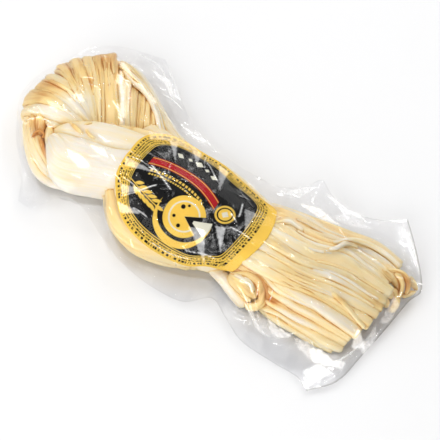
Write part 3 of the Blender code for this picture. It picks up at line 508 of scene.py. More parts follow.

# Sharp folds of the film: points in plan, then the fold's height, half width and how white its crest is
# painted, partly creased film whitening, partly a painted highlight.
FILM_FOLDS = [
    ([(60, -49), (67, -53), (75, -56.5), (83, -59.6), (89, -61)], 1.6, 1.5, 0.6),
    ([(64, -43), (73, -51), (80, -57), (87, -61)], 1.2, 1.2, 0.5),
    ([(82, -45), (90, -51), (97, -52.6), (102, -47)], 1.4, 1.4, 0.6),
    ([(111, -48), (117, -54), (124, -57)], 2.0, 1.8, 0.5),
    ([(125, -57), (121, -63), (117, -68)], 1.6, 1.6, 0.4),
    ([(129, -57), (134, -48), (139, -36), (141, -26)], 1.4, 1.4, 0.6),
    ([(55, 29), (73, 28), (93, 32)], 1.8, 1.8, 0.5),
    ([(61, 45), (82, 45), (103, 41)], 1.4, 1.8, 0.4),
    ([(119, 51), (132, 42), (142, 34), (151, 23)], 1.5, 1.5, 0.7),
    ([(-86, 77), (-71, 66), (-54, 54), (-36, 44)], 1.5, 1.6, 0.6),
    ([(-113, 71), (-95, 71), (-83, 69), (-70, 60), (-56, 51)], 1.5, 2.2, 0.4),
    ([(-74, 53), (-63, 53), (-49, 48)], 1.4, 1.4, 0.6),
    ([(-63, 35), (-51, 32), (-41, 30)], 1.2, 1.2, 0.7),
    ([(-47, 36), (-38, 39), (-29, 42)], 1.0, 1.6, 0.2),
    ([(-42, 33), (-34, 38), (-25, 39)], 1.0, 1.4, 0.15),
    ([(-29, 33), (-31, 38), (-36, 42)], 0.8, 1.2, 0.1),
    ([(-39, 35), (-32, 40), (-25, 41.5)], 0.9, 1.0, 0.3),
    ([(-43, 38), (-33, 36), (-23, 37)], 0.9, 1.0, 0.2),
    ([(-95, 34), (-89, 24), (-80, 13.6), (-71, 6)], 0.4, 1.0, 0.7),
    ([(-83, 17), (-77, 11), (-71, 6.6)], 0.4, 1.8, 0.9),
    ([(-87, 38), (-80, 29), (-73, 19), (-67, 11)], 0.4, 0.9, 0.7),
    ([(-98, 42), (-91, 35), (-84, 37)], 0.6, 1.4, 0.8),
    ([(-98, 44), (-84, 40), (-72, 35)], 0.7, 1.0, 0.5),
    ([(-110, 60), (-96, 57), (-80, 52), (-62, 42)], 0.8, 1.1, 0.5),
    ([(-92, 36), (-83, 31), (-76, 20), (-71, 12)], 0.4, 0.9, 0.85),
    ([(-88, 43), (-74, 37), (-60, 31)], 0.5, 0.9, 0.8),
    ([(-139, -21), (-131, -25), (-122, -20)], 0.6, 0.9, 0.8),
    ([(-139, -16), (-130, -18), (-120, -17)], 0.5, 0.9, 0.8),
    ([(-136, -25), (-125, -21.6), (-118, -19.6), (-109, -19)], 0.8, 1.0, 0.9),
    ([(-133, -18), (-128, -14), (-122, -16.4), (-117, -19)], 0.6, 0.9, 0.7),
    ([(-115, -21), (-112, -22), (-109, -20)], 0.4, 1.6, 0.9),
    ([(-124, -11), (-116, -9), (-104, -8), (-92, -6)], 0.7, 0.9, 0.4),
    ([(-131, -21), (-124, -29), (-115, -36)], 0.5, 0.8, 0.5),
    ([(-83, -35), (-72, -34), (-60, -38)], 0.4, 2.2, 0.3),
    ([(-92, -24), (-80, -24), (-68, -20), (-56, -15)], 0.4, 1.2, 0.4),
    ([(52, -43.6), (57, -43.6), (61, -42.4), (64, -44.6), (67.4, -46.4)], 0.5, 0.9, 0.95),
    ([(65, -37.2), (66.8, -41), (69, -45.8)], 0.5, 0.8, 0.95),
    ([(52, -46), (60, -48.4), (65, -50.6), (68, -53)], 0.5, 0.8, 0.7),
    ([(-31, -35), (-26, -29), (-20, -23)], 0.8, 1.6, 0.8),
    ([(-36, -13), (-22, -18), (-8, -24)], 0.8, 1.4, 0.9),
    ([(-9, 13), (1, 7), (10, 0)], 0.8, 1.4, 0.8),
    ([(27, -13), (32, -15), (36, -17)], 0.8, 1.2, 1.0),
    ([(30, -1), (33, -9), (34, -14)], 0.8, 1.3, 1.0),
    ([(-50, -16), (-38, -15), (-27, -17)], 0.7, 0.9, 1.0),
    ([(-47, -30), (-36, -31), (-24, -35)], 0.7, 0.9, 0.9),
    ([(-12, 20), (-8, 11), (-3, 4)], 0.7, 0.9, 0.9),
    ([(13, -49), (26, -44), (38, -41)], 0.7, 0.9, 0.8),
    ([(-10, -56), (8, -54), (24, -48)], 0.7, 1.0, 0.7),
    ([(31, -22), (40, -20), (49, -20)], 0.8, 1.2, 0.9),
    ([(-29, -44), (-21, -44), (-13, -45)], 0.7, 1.4, 0.7),
    ([(-40, 16), (-30, 8), (-22, -2), (-16, -14)], 0.7, 1.0, 0.5),
    ([(10, -50), (18, -42), (24, -30)], 0.7, 1.0, 0.5),
    ([(18, 12), (26, 4), (40, 0)], 0.7, 1.1, 0.6),
]
# How much greyer the loose film is made at each place: points in plan, and how much.
FILM_GREY_PLACES = [
    (-150, 20, 0), (-130, 50, 0), (-105, 72, 0.35), (-80, 66, 0.55), (-60, 52, 0.5), (-40, 40, 0.35),
    (-10, 40, 0), (25, 35, 0), (60, 36, 0.4), (100, 42, 0.35), (140, 35, 0.45), (152, 15, 0.6),
    (143, -8, 1.2), (141, -36, 1.1), (130, -62, 0.95), (100, -60, 0.95), (60, -62, 0.9), (30, -62, 0.65),
    (-10, -72, 0.6), (-50, -65, 0.5), (-90, -60, 0.25), (-125, -50, 0.25), (-148, -40, 0.2),
    (-152, -10, 0),
]
# Facets of the loose film painted white as a highlight where they would catch the light: corners in plan,
# then how white.
FILM_FACETS = [
    ([(80, -50), (90, -52), (98, -51), (100, -53), (92, -58), (85, -56)], 0.55),
    ([(112, -54), (119, -51), (130, -52), (137, -47), (138, -53), (127, -58), (119, -60)], 0.6),
    ([(117, -68), (124, -58), (134, -58), (126, -75)], 0.55),
    ([(55, 27), (72, 26), (90, 31), (70, 33)], 0.5),
    ([(64, 44), (84, 47), (103, 42), (84, 41)], 0.42),
    ([(124, 52), (131, 46), (142, 36), (134, 39)], 0.45),
    ([(133, -29), (143, -30), (140, -37), (135, -39)], 0.65),
    ([(141, 4), (148, 2), (147, -12), (142, -16)], 0.45),
    ([(141, -18), (146, -22), (145, -40), (139, -34)], 0.45),
    ([(-92, 66), (-74, 60), (-60, 50), (-72, 66)], 0.42),
    ([(-97, 37), (-91, 27), (-88, 30), (-91, 36)], 0.6),
    ([(-94, 32), (-83, 21), (-76, 8), (-72, 12), (-83, 27), (-91, 36)], 0.46),
    ([(-53, 10), (-36, 20), (-20, 21), (-22, 14), (-38, 10), (-46, 2)], 0.4),
    ([(-104, 46), (-92, 40), (-84, 38), (-92, 46), (-102, 51)], 0.45),
    ([(-78, 40), (-68, 35), (-60, 29), (-64, 37)], 0.4),
    ([(-88, -33), (-76, -32), (-66, -36), (-72, -40), (-82, -38)], 0.42),
    ([(-78, -22), (-66, -20), (-58, -25), (-68, -26)], 0.4),
    ([(-126, -8), (-116, -6), (-108, -9), (-118, -12)], 0.4),
    ([(-112, 4), (-104, 8), (-99, 3), (-106, 0)], 0.36),
    ([(64, -47), (76, -56), (90, -61), (78, -60), (68, -54)], 0.45),
    ([(70, -52), (84, -50), (96, -57), (88, -62)], 0.3),
    ([(100, -52), (112, -50), (122, -60), (108, -58)], 0.4),
    ([(40, 30), (54, 32), (60, 46), (52, 42)], 0.35),
    ([(70, 30), (92, 34), (110, 40), (90, 42)], 0.3),
    ([(-51, -17), (-48, -24), (-24, -17)], 0.5),
    ([(-44, -34), (-39, -40), (-22, -29)], 0.5),
    ([(-40, -44), (-33, -50), (-18, -44)], 0.55),
    ([(-26, 20), (-15, 19), (-7, 1)], 0.5),
    ([(-1, 17), (9, 15), (15, -7)], 0.52),
    ([(-37, 12), (-32, 15), (-18, -7)], 0.55),
    ([(24, -26), (31, -23), (37, -39)], 0.55),
    ([(10, -36), (21, -32), (31, -48)], 0.5),
    ([(33, -5), (41, -1), (43, -20)], 0.45),
]


# ---------------------------------------------------------------- settings a user would change

def number(name, description, default, **kind):
    return bpy.props.FloatProperty(name=name, description=description, default=default, **kind)


def length(name, description, metres):
    return number(name, description, metres, min=0, precision=5, unit="LENGTH")


def share(name, description, part):
    return number(name, description, part, min=0, max=1, subtype="FACTOR")


def angle(name, description, degrees):
    return number(name, description, math.radians(degrees), subtype="ANGLE")


def strength(name, description, amount):
    return number(name, description, amount, min=0)


def colour(name, description, shade):
    return bpy.props.FloatVectorProperty(
        name=name, description=description, default=shade, size=3, min=0, max=1, subtype="COLOR")


class CheeseSettings(bpy.types.PropertyGroup):
    """Shape and colour of the cheese."""
    ridge_depth: length("Ridge depth", "Depth of the long ridges on each string", 0.0005)
    wander: length("Wander", "How far strings stray from a straight run", 0.0012)
    crevice_near: length("Crevice width", "How far the golden line of a crevice spreads", 0.0015)
    crevice_far: length("Hollow width", "How far the soft golden tint of a hollow spreads", 0.009)
    # Crevice and hollow tints paint shade into the colour, by how closed in each point is; partly the
    # cheese's own golden colour.
    crevice_painted_shade: share("Crevice tint", "How golden the crevices are", 0.92)
    hollow_painted_shade: share("Hollow tint", "How golden the hollows are", 0.2)
    fibre_relief: length("Fibre relief", "Height of the fine fibres", 0.0004)
    ivory: colour("Ivory", "Palest cheese", (0.907, 0.858, 0.77))
    cream: colour("Cream", "Most of the loose strings", (0.94, 0.79, 0.5))
    # Golden and the darkest colour stand for dried cheese and also for the painted shade of crevices, hollows
    # and grooves.
    golden: colour("Golden", "Dried cheese on ridges and bends", (0.95, 0.72, 0.34))
    toasted_and_shade: colour("Toasted", "Deepest crevices", (0.66, 0.32, 0.09))


class FilmSettings(bpy.types.PropertyGroup):
    """The clear bag."""
    cell: length("Cell", "Spacing of the film's mesh", 0.0008)
    clearance: length("Clearance", "Gap between film and cheese", 0.00025)
    bridge: length("Bridge", "Widest hollow that the taut film spans", 0.006)
    crumple: length("Crumple", "Height of the facets in the loose film", 0.0026)
    weld_width: length("Weld width", "Width of the heat weld at the strings' end", 0.007)
    tint: colour("Tint", "What one layer lets through", (0.99, 0.99, 0.992))
    # Grey of the loose film: greyer by place, and darker as painted shade by how its facets face.
    haze: colour("Haze", "What one layer of crumpled, loose film lets through", (0.932, 0.933, 0.938))
    seam: colour("Seam", "What one layer lets through along its very edge", (0.72, 0.71, 0.7))
    # How white the sharpest folds and chosen facets are painted: partly creased film whitening, partly a
    # painted highlight.
    milky: share("Milkiness", "How white the sharpest folds are", 0.75)


class LabelSettings(bpy.types.PropertyGroup):
    """The printed label."""
    thickness: length("Thickness", "Thickness of the label", 0.0002)
    border: length("Border", "Width of the golden border along the label's sides", 0.0072)
    end_border: length("End border", "Width of the golden border at the head's end", 0.012)
    band: length("Band", "Width of the plain band at the strings' end", 0.0065)
    row: length("Row", "Spacing of the fine rows in the border", 0.0017)
    black: colour("Black", "Ground of the print", (0.003, 0.003, 0.0035))
    gold: colour("Gold", "Border and motifs", (0.92, 0.64, 0.11))
    red: colour("Red", "Ribbon", (0.5, 0.012, 0.02))
    milk: colour("Milk", "Pale motifs", (0.82, 0.8, 0.68))
    # Smoky grey over the black ground: a painted glare of the film over the label.
    smoky_glare: colour("Smoke", "Smoky texture on the ground", (0.6, 0.6, 0.6))


class StageSettings(bpy.types.PropertyGroup):
    """Floor, lights and camera."""
    azimuth: angle("Azimuth", "Direction of the camera round the pack", 33)
    elevation: angle("Elevation", "Height of the camera over the table", 62)
    distance: length("Distance", "From the camera to what it aims at", 0.6857)
    lens: number("Lens", "Focal length in millimetres", 85, min=10)
    floor: colour("Floor", "Colour of the table", (0.835, 0.835, 0.84))
    sky: strength("Sky", "Strength of the even light", 0.47)
    front: strength("Front", "Brightness of the large front panel", 1.95)
    side: strength("Side", "Brightness of the panels at the side and behind", 1.0)
    glint: strength("Glint", "Brightness of the small lamps", 95)


# ---------------------------------------------------------------- curves and surfaces

def curve_through(points, count):
    """Evenly spaced samples of the Catmull-Rom curve through points of any dimension."""
    given = np.array(points, float)
    p = np.concatenate([[2 * given[0] - given[1]], given, [2 * given[-1] - given[-2]]])
    t = np.linspace(0, 1, 24, endpoint=False)[:, None]
    dense = []
    for a, b, c, d in zip(p, p[1:], p[2:], p[3:]):
        bend, twist = 2 * a - 5 * b + 4 * c - d, 3 * b - a - 3 * c + d
        dense.append(0.5 * (2 * b + (c - a) * t + bend * t**2 + twist * t**3))
    dense = np.concatenate(dense + [given[-1:]])
    steps = np.linalg.norm(np.diff(dense[:, :3], axis=0), axis=1)
    along = np.concatenate([[0], np.cumsum(steps)])
    wanted = np.linspace(0, along[-1], count)
    return np.stack([np.interp(wanted, along, dense[:, k]) for k in range(dense.shape[1])], axis=1)


def flat_curve(points, count):
    """The same for points in plan."""
    return curve_through([(*point, 0) for point in points], count)


def route_length(points):
    given = np.array(points, float)[:, :3]
    return float(np.linalg.norm(np.diff(given, axis=0), axis=1).sum())


def widened(route, factor):
    return [(*place[:3], place[3] * factor, place[4]) for place in route]


def unit(vectors):
    return vectors / np.maximum(np.linalg.norm(vectors, axis=-1, keepdims=True), 1e-9)


def smooth_step(low, high, x):
    t = np.clip((x - low) / (high - low), 0, 1)
    return t * t * (3 - 2 * t)


def blurred(grid, times):
    """The grid with each value moved towards its neighbours, a number of times."""
    for _ in range(times):
        p = np.pad(grid, 1, mode="edge")
        grid = 0.5 * grid + 0.125 * (p[:-2, 1:-1] + p[2:, 1:-1] + p[1:-1, :-2] + p[1:-1, 2:])
    return grid


def taut(obstacle, times):
    """A film that lies on the obstacle and spans its narrow hollows."""
    grid = obstacle.copy()
    for _ in range(times):
        p = np.pad(grid, 1, mode="edge")
        grid = np.maximum(obstacle, 0.25 * (p[:-2, 1:-1] + p[2:, 1:-1] + p[1:-1, :-2] + p[1:-1, 2:]))
    return grid


def grid_faces(rows, columns, start=0, flip=False):
    i, j = np.meshgrid(np.arange(rows - 1), np.arange(columns - 1), indexing="ij")
    a = start + i * columns + j
    quads = np.stack([a, a + columns, a + columns + 1, a + 1], axis=-1).reshape(-1, 4)
    return (quads[:, ::-1] if flip else quads).tolist()


def tube_faces(rows, around, flip=False):
    """Faces round rows of points, and a face over each end."""
    i, j = np.meshgrid(np.arange(rows - 1), np.arange(around), indexing="ij")
    a, b = i * around + j, i * around + (j + 1) % around
    quads = np.stack([a, b, b + around, a + around], axis=-1).reshape(-1, 4)
    first = list(range(around))
    last = list(range((rows - 1) * around, rows * around))
    if flip:
        return quads[:, [0, 3, 2, 1]].tolist() + [first, last[::-1]]
    return quads.tolist() + [first[::-1], last]


def rim_of(rows, columns):
    """Rows and columns of a grid's outermost points, once round."""
    rim = [(i, 0) for i in range(rows)]
    rim += [(rows - 1, j) for j in range(1, columns)]
    rim += [(i, columns - 1) for i in range(rows - 2, -1, -1)]
    rim += [(0, j) for j in range(columns - 2, 0, -1)]
    return np.array(rim).T


def rolled_flat(surface):
    """Where each point of a curved sheet lies once the sheet is flat, from its middle."""
    rows, columns = surface.shape[:2]
    across = np.cumsum(np.linalg.norm(np.diff(surface, axis=1), axis=2), axis=1)
    across = np.concatenate([np.zeros((rows, 1)), across], axis=1)
    along = np.cumsum(np.linalg.norm(np.diff(surface, axis=0), axis=2), axis=0)
    along = np.concatenate([np.zeros((1, columns)), along], axis=0)
    middle = columns // 2
    x = np.broadcast_to(along[:, middle:middle + 1], across.shape) - along[rows // 2, middle]
    return x, across - across[:, middle:middle + 1]


def sides_along(path):
    """Directions sideways and up at each point of a path, steady where the path turns down."""
    rows = len(path)
    ahead = unit(np.gradient(path[:, :3], axis=0))
    level = np.hypot(ahead[:, 0], ahead[:, 1])
    flat = unit(np.stack([-ahead[:, 1], ahead[:, 0], np.zeros(rows)], axis=1))
    for k in range(1, rows):
        if level[k] < STEEP:
            flat[k] = flat[k - 1]
        elif flat[k] @ flat[k - 1] < 0:
            flat[k] *= -1
    for _ in range(3):
        flat[1:-1] = 0.5 * flat[1:-1] + 0.25 * (flat[:-2] + flat[2:])
    side = unit(flat)
    up = unit(np.cross(ahead, side))
    if up[rows // 3, 2] < 0:
        return -side, -up
    return side, up


def creases(rng, t, a, radius, count, depth, width):
    """Relief of grooves that begin, wander and fade along a strand."""
    relief = np.zeros((len(t), a.size))
    for _ in range(count):
        sway = 0.25 * np.sin(t * rng.uniform(3, 9) + rng.uniform(*PHASES))
        centre = rng.uniform(0, FULL_TURN) + rng.normal(0, 0.5) * t + sway
        start, reach = rng.uniform(-0.25, 0.7), rng.uniform(0.3, 1.0)
        fade = smooth_step(start, start + 0.1, t) * (1 - smooth_step(start + reach - 0.1, start + reach, t))
        gap = np.abs((a - centre[:, None] + math.pi) % FULL_TURN - math.pi) * radius
        groove = np.exp(-(gap / (width * rng.uniform(0.7, 1.6))) ** 2)
        relief -= rng.uniform(0.3, 1.2) * depth * fade[:, None] * groove
    return relief


class Bundle:
    """Strands and other shells that make up one piece of cheese."""

    def __init__(self, seed):
        self.rng = np.random.default_rng(SEED + seed)
        self.points, self.faces, self.fibre, self.tone = [], [], [], []
        self.count = 0

    def shell(self, points, faces, fibre, tone):
        self.points.append(points)
        self.faces.extend(tuple(self.count + k for k in face) for face in faces)
        self.fibre.append(fibre)
        self.tone.append(tone)
        self.count += len(points)

    def wave(self, along, pitch):
        return np.sin(along / pitch + self.rng.uniform(*PHASES))

    def relief(self, along, a, radius, grooves, depth):
        """Fine and broad grooves along a strand, and soft waves round it."""
        rng, t = self.rng, along / along[-1]
        relief = creases(rng, t, a, radius, grooves, depth, FINE_GROOVE)
        relief += creases(rng, t, a, radius, grooves // 2, 0.8 * depth, BROAD_GROOVE)
        for wave in range(1, 4):
            pitch, phase = rng.uniform(9, 24), rng.uniform(*PHASES)
            relief = relief + 0.3 * depth * np.sin(wave * a + along[:, None] / pitch + phase)
        return relief

    def strand(self, route, thickness, square=2.3, grooves=6, depth=0.5,
               wander=1.0, cut=(False, False), step=1.2, cell=0.6):
        """A flattened strand whose back follows the route. The higher square is, the boxier its
        section; an end that is cut stays blunt. Step and cell space its mesh along and round it."""
        rows = max(12, int(route_length(route) / step))
        path = curve_through(route, rows)
        reach = route_length(path)
        along = np.linspace(0, reach, rows)
        around = int(np.clip(2.6 * (path[:, 3].mean() + thickness / 2) / cell, 16, 96))
        turn = np.linspace(-1, 1, around, endpoint=False)
        a = (math.pi / 2 + math.pi * (0.6 * turn + 0.4 * turn**3))[None, :]
        sway = 0.5 * wander * sum(self.wave(along, pitch) for pitch in (9, 15, 26)) / 2
        side, up = sides_along(path)
        half_width = path[:, 3] * (1 + 0.1 * self.wave(along, 11))
        half_height = thickness / 2 * (1 + 0.08 * self.wave(along, 14))
        half_height = np.minimum(half_height, half_width * 1.6)
        radius = float(half_width.mean() + thickness / 2) / 2

        to_start = along + (FAR_AWAY if cut[0] else 0)
        to_end = reach - along + (FAR_AWAY if cut[1] else 0)
        past_end = 1 - np.minimum(to_start, to_end) / np.maximum(path[:, 3], 1)
        round_off = np.sqrt(1 - np.clip(past_end, 0, 0.985) ** 2)
        trim = 1 - 0.12 * np.clip(1 - np.minimum(along, reach - along) / 1.2, 0, 1)
        scale = (round_off * trim)[:, None]

        relief = self.relief(along, a, radius, grooves, depth)
        c, s = np.cos(a), np.sin(a)
        across = np.sign(c) * np.abs(c) ** (2 / square)
        rise = np.sign(s) * np.abs(s) ** (2 / square)
        w = (half_width[:, None] + relief) * scale * across
        h = (half_height[:, None] + relief) * scale * rise
        centre = path[:, :3] - up * half_height[:, None] + side * sway[:, None]
        p = centre[:, None, :] + side[:, None, :] * w[..., None] + up[:, None, :] * h[..., None]
        p[..., 2] = np.maximum(p[..., 2], LOWEST)

        fibre = np.zeros((rows, around, 3))
        fibre[..., 0] = along[:, None] + self.rng.uniform(0, 900)
        fibre[..., 1] = (a + math.pi / 2) * radius
        fibre[..., 2] = self.rng.uniform(0, 90)
        # Tone deepens where the surface sinks: painted shade in grooves and dips.
        tone = path[:, 4:5] + np.clip(-relief, 0, None) * 0.22
        self.shell(p.reshape(-1, 3), tube_faces(rows, around), fibre.reshape(-1, 3), tone.reshape(-1))

    def dome(self):
        """The head's core under its pleats, widest at the waist."""
        rows, columns = 26, 96
        bearing = np.linspace(0, FULL_TURN, columns, endpoint=False)
        shape = np.array(HEAD_SHAPE, float)
        degrees = np.degrees(bearing)
        reach = np.interp(degrees, shape[:, 0], shape[:, 1], period=360) - PLEAT_DEPTH
        crest = np.interp(degrees, shape[:, 0], shape[:, 2], period=360) - PLEAT_DEPTH
        turn = np.linspace(0.03, math.pi - 0.4, rows)[:, None]
        out = np.sin(turn) ** np.where(turn > math.pi / 2, 0.45, 0.8)
        over = np.clip(np.cos(turn), 0, None) ** 0.75
        below = np.clip(-np.cos(turn), 0, None)
        x = HEAD_ROOT[0] + reach * out * np.cos(bearing)
        y = HEAD_ROOT[1] + reach * out * np.sin(bearing)
        z = np.maximum(crest * (WAIST + (1 - WAIST) * over - WAIST * below), 0.8)
        points = np.stack([x, y, z], axis=-1).reshape(-1, 3)
        fibre = np.stack([reach * out, np.broadcast_to(bearing * 40, x.shape), 0 * x], axis=-1).reshape(-1, 3)
        self.shell(points, tube_faces(rows, columns, flip=True), fibre, np.full(len(points), 0.5))

    def piece(self, name, material):
        """One mesh object of everything added so far."""
        mesh = bpy.data.meshes.new(name)
        mesh.from_pydata((np.concatenate(self.points) * MM).tolist(), [], self.faces)
        store(mesh, "fibre", np.concatenate(self.fibre))
        store(mesh, "tone", np.concatenate(self.tone))
        placed(name, mesh, material, "cheese")


def over_head(route):
    """The pleat's route with its hidden ends: under the front ply, and down the outside to the table."""
    route = [tuple(place) for place in route]
    for k, (x, y, *rest) in enumerate(route):
        out = np.array([x - HEAD_ROOT[0], y - HEAD_ROOT[1]])
        away = np.hypot(*out)
        x, y = out * (1 + PLEAT_SWELL * smooth_step(34, 50, away) / away) + HEAD_ROOT
        route[k] = (x, y, *rest)
    first, second, last = (np.array(route[k], float) for k in (0, 1, -1))
    under = first + (first - second) * 0.8
    under[2:] = first[2] - 4, 0.8 * first[3], first[4]
    bearing = math.degrees(math.atan2(last[1] - HEAD_ROOT[1], last[0] - HEAD_ROOT[0])) % 360
    shape = np.array(HEAD_SHAPE, float)
    outside = np.interp(bearing, shape[:, 0], shape[:, 1], period=360) + PLEAT_SWELL
    reach = min(outside, math.hypot(last[0] - HEAD_ROOT[0], last[1] - HEAD_ROOT[1]) + 1.5)
    ending = []
    for out, height in PLEAT_ENDING:
        x = HEAD_ROOT[0] + out * reach * math.cos(math.radians(bearing))
        y = HEAD_ROOT[1] + out * reach * math.sin(math.radians(bearing))
        ending.append((x, y, height * last[2], last[3], last[4]))
    return [tuple(under), *route, *ending]


def store(mesh, name, values):
    """Keep a number or a vector for each vertex, for the materials to read."""
    values = np.ascontiguousarray(values, np.float32)
    wide = values.ndim == 2
    kind, field = ("FLOAT_VECTOR", "vector") if wide else ("FLOAT", "value")
    attribute = mesh.attributes.get(name) or mesh.attributes.new(name, kind, "POINT")
    attribute.data.foreach_set(field, values.reshape(-1))


def placed(name, mesh, material, slot):
    """An object that rides with the pack, with its finish and its slot in the record."""
    mesh.validate()
    mesh.materials.append(material)
    mesh.shade_smooth()
    piece = bpy.data.objects.new(name, mesh)
    bpy.context.scene.collection.objects.link(piece)
    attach(piece, "root")
    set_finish(piece, slot)
    return piece


def contents_tree():
    """The cheese, and the label once it is there, as one tree for ray casts, in metres."""
    points, faces = [], []
    for piece in bpy.data.objects:
        if piece.get("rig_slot") in ("cheese", "label") and piece.type == "MESH":
            start = len(points)
            points.extend(v.co.copy() for v in piece.data.vertices)
            faces.extend(tuple(start + k for k in f.vertices) for f in piece.data.polygons)
    return BVHTree.FromPolygons(points, faces)


def drop(tree, x, y, missing):
    """Height of the first thing under each point, in millimetres."""
    top = BAG_HIGH.z + 40 * MM
    heights = []
    for px, py in zip(x.reshape(-1) * MM, y.reshape(-1) * MM):
        hit = tree.ray_cast(Vector((px, py, top)), -UP)
        heights.append(hit[0].z / MM if hit[0] is not None else missing)
    return np.array(heights).reshape(x.shape)


# ---------------------------------------------------------------- materials

class Graph:
    """Short spellings for the nodes of one material."""

    def __init__(self, name):
        self.material = bpy.data.materials.new(name)
        self.material.use_nodes = True
        self.nodes, self.links = self.material.node_tree.nodes, self.material.node_tree.links
        self.nodes.clear()
        self.output = self.nodes.new("ShaderNodeOutputMaterial")

    def put(self, kind, inputs=None, **settings):
        node = self.nodes.new(kind)
        for key, value in settings.items():
            setattr(node, key, value)
        for key, value in (inputs or {}).items():
            self.plug(node.inputs[key], value)
        return node

    def plug(self, socket, value):
        value = value.socket if isinstance(value, Field) else value
        if isinstance(value, bpy.types.NodeSocket):
            self.links.new(value, socket)
        elif socket.type == "RGBA":
            socket.default_value = (*value[:3], 1)
        else:
            socket.default_value = value

    def field(self, value):
        return Field(self, value)

    def attribute(self, name, output="Fac"):
        return self.put("ShaderNodeAttribute", attribute_name=name).outputs[output]

    def object_place(self):
        return self.put("ShaderNodeTexCoord").outputs["Object"]

    def noise(self, vector, scale, detail=3.0, roughness=0.55, distortion=0.0):
        inputs = {"Vector": vector, "Scale": scale, "Detail": detail, "Roughness": roughness}
        inputs["Distortion"] = distortion
        return Field(self, self.put("ShaderNodeTexNoise", inputs).outputs["Fac"])

    def joined(self, x, y):
        return self.put("ShaderNodeCombineXYZ", {0: x, 1: y}).outputs[0]

    def stretched(self, vector, scale):
        return self.put("ShaderNodeMapping", {"Vector": vector, "Scale": scale}).outputs["Vector"]

    def bump(self, height, distance, strength):
        inputs = {"Height": height, "Distance": distance, "Strength": strength}
        return self.put("ShaderNodeBump", inputs).outputs["Normal"]

    def mix(self, factor, first, second):
        node = self.put("ShaderNodeMix", {"Factor": factor}, data_type="RGBA")
        self.plug(node.inputs[6], first)
        self.plug(node.inputs[7], second)
        return node.outputs[2]

    def ramp(self, factor, stops):
        node = self.put("ShaderNodeValToRGB", {"Fac": factor})
        elements = node.color_ramp.elements
        while len(elements) < len(stops):
            elements.new(0.5)
        for element, (position, shade) in zip(elements, stops):
            element.position = position
            element.color = (*shade[:3], 1)
        return node.outputs["Color"]

    def principled(self, colour, roughness, **others):
        """A principled shader; the other sockets' names are spelled with underscores."""
        inputs = {key.replace("_", " "): value for key, value in others.items()}
        inputs.update({"Base Color": colour, "Roughness": roughness})
        return self.put("ShaderNodeBsdfPrincipled", inputs).outputs[0]

    def surface(self, shader):
        self.links.new(shader, self.output.inputs["Surface"])
        return self.material


class Field:
    """A number that varies over a surface, with Python's arithmetic."""

    def __init__(self, graph, value):
        self.graph, self.socket = graph, value

    def math(self, operation, *others, clamp=False):
        node = self.graph.put("ShaderNodeMath", operation=operation, use_clamp=clamp)
        for socket, value in zip(node.inputs, (self, *others)):
            self.graph.plug(socket, value)
        return Field(self.graph, node.outputs[0])

    def __add__(self, other):
        return self.math("ADD", other)

    def __sub__(self, other):
        return self.math("SUBTRACT", other)

    def __mul__(self, other):
        return self.math("MULTIPLY", other)

    def __truediv__(self, other):
        return self.math("DIVIDE", other)

    def __neg__(self):
        return self.math("MULTIPLY", -1.0)

    def __abs__(self):
        return self.math("ABSOLUTE")

    def high(self, other):
        return self.math("MAXIMUM", other)

    def wrap(self, pitch):
        return self.math("FLOORED_MODULO", pitch)

    def floor(self):
        return self.math("FLOOR")

    def root(self):
        return self.math("SQRT")

    def unit(self):
        return self.math("ADD", 0.0, clamp=True)

    def inside(self, soft):
        """1 where this distance is negative, with a soft edge that many millimetres wide."""
        return (self * (-1.0 / soft) + 0.5).unit()

    def between(self, low, high):
        return ((self - low) / (high - low)).unit()


def cheese_material(settings):
    g = Graph("string_cheese")
    fibre = g.attribute("fibre", "Vector")
    tone = g.field(g.attribute("tone"))
    fine = g.noise(g.stretched(fibre, (0.06, 1.6, 1)), 1.0, 4.0, 0.6, 0.3)
    streak = g.noise(g.stretched(fibre, (0.028, 0.5, 1)), 1.0, 3.0, 0.55, 0.4)
    patch = g.noise(g.stretched(fibre, (0.04, 0.09, 1)), 1.0, 2.0, 0.5)
    # Tone: the cheese's own golden and dried colour with random streaks, and painted shade of crevices,
    # hollows and grooves.
    ripe_and_shade = tone + (streak - 0.5) * 0.44 + (fine - 0.5) * 0.26 + (patch - 0.5) * 0.3
    stops = [(0.0, settings.ivory), (0.3, settings.cream), (0.62, settings.golden), (1.0, settings.toasted_and_shade)]
    relief = fine * 0.6 + streak * 0.6
    return g.surface(g.principled(
        g.ramp(ripe_and_shade, stops), streak * 0.2 + 0.4,
        Normal=g.bump(relief, settings.fibre_relief, 0.6), Specular_IOR_Level=0.25,
        Subsurface_Weight=0.25, Subsurface_Scale=0.004, Subsurface_Radius=(1.0, 0.75, 0.4)))


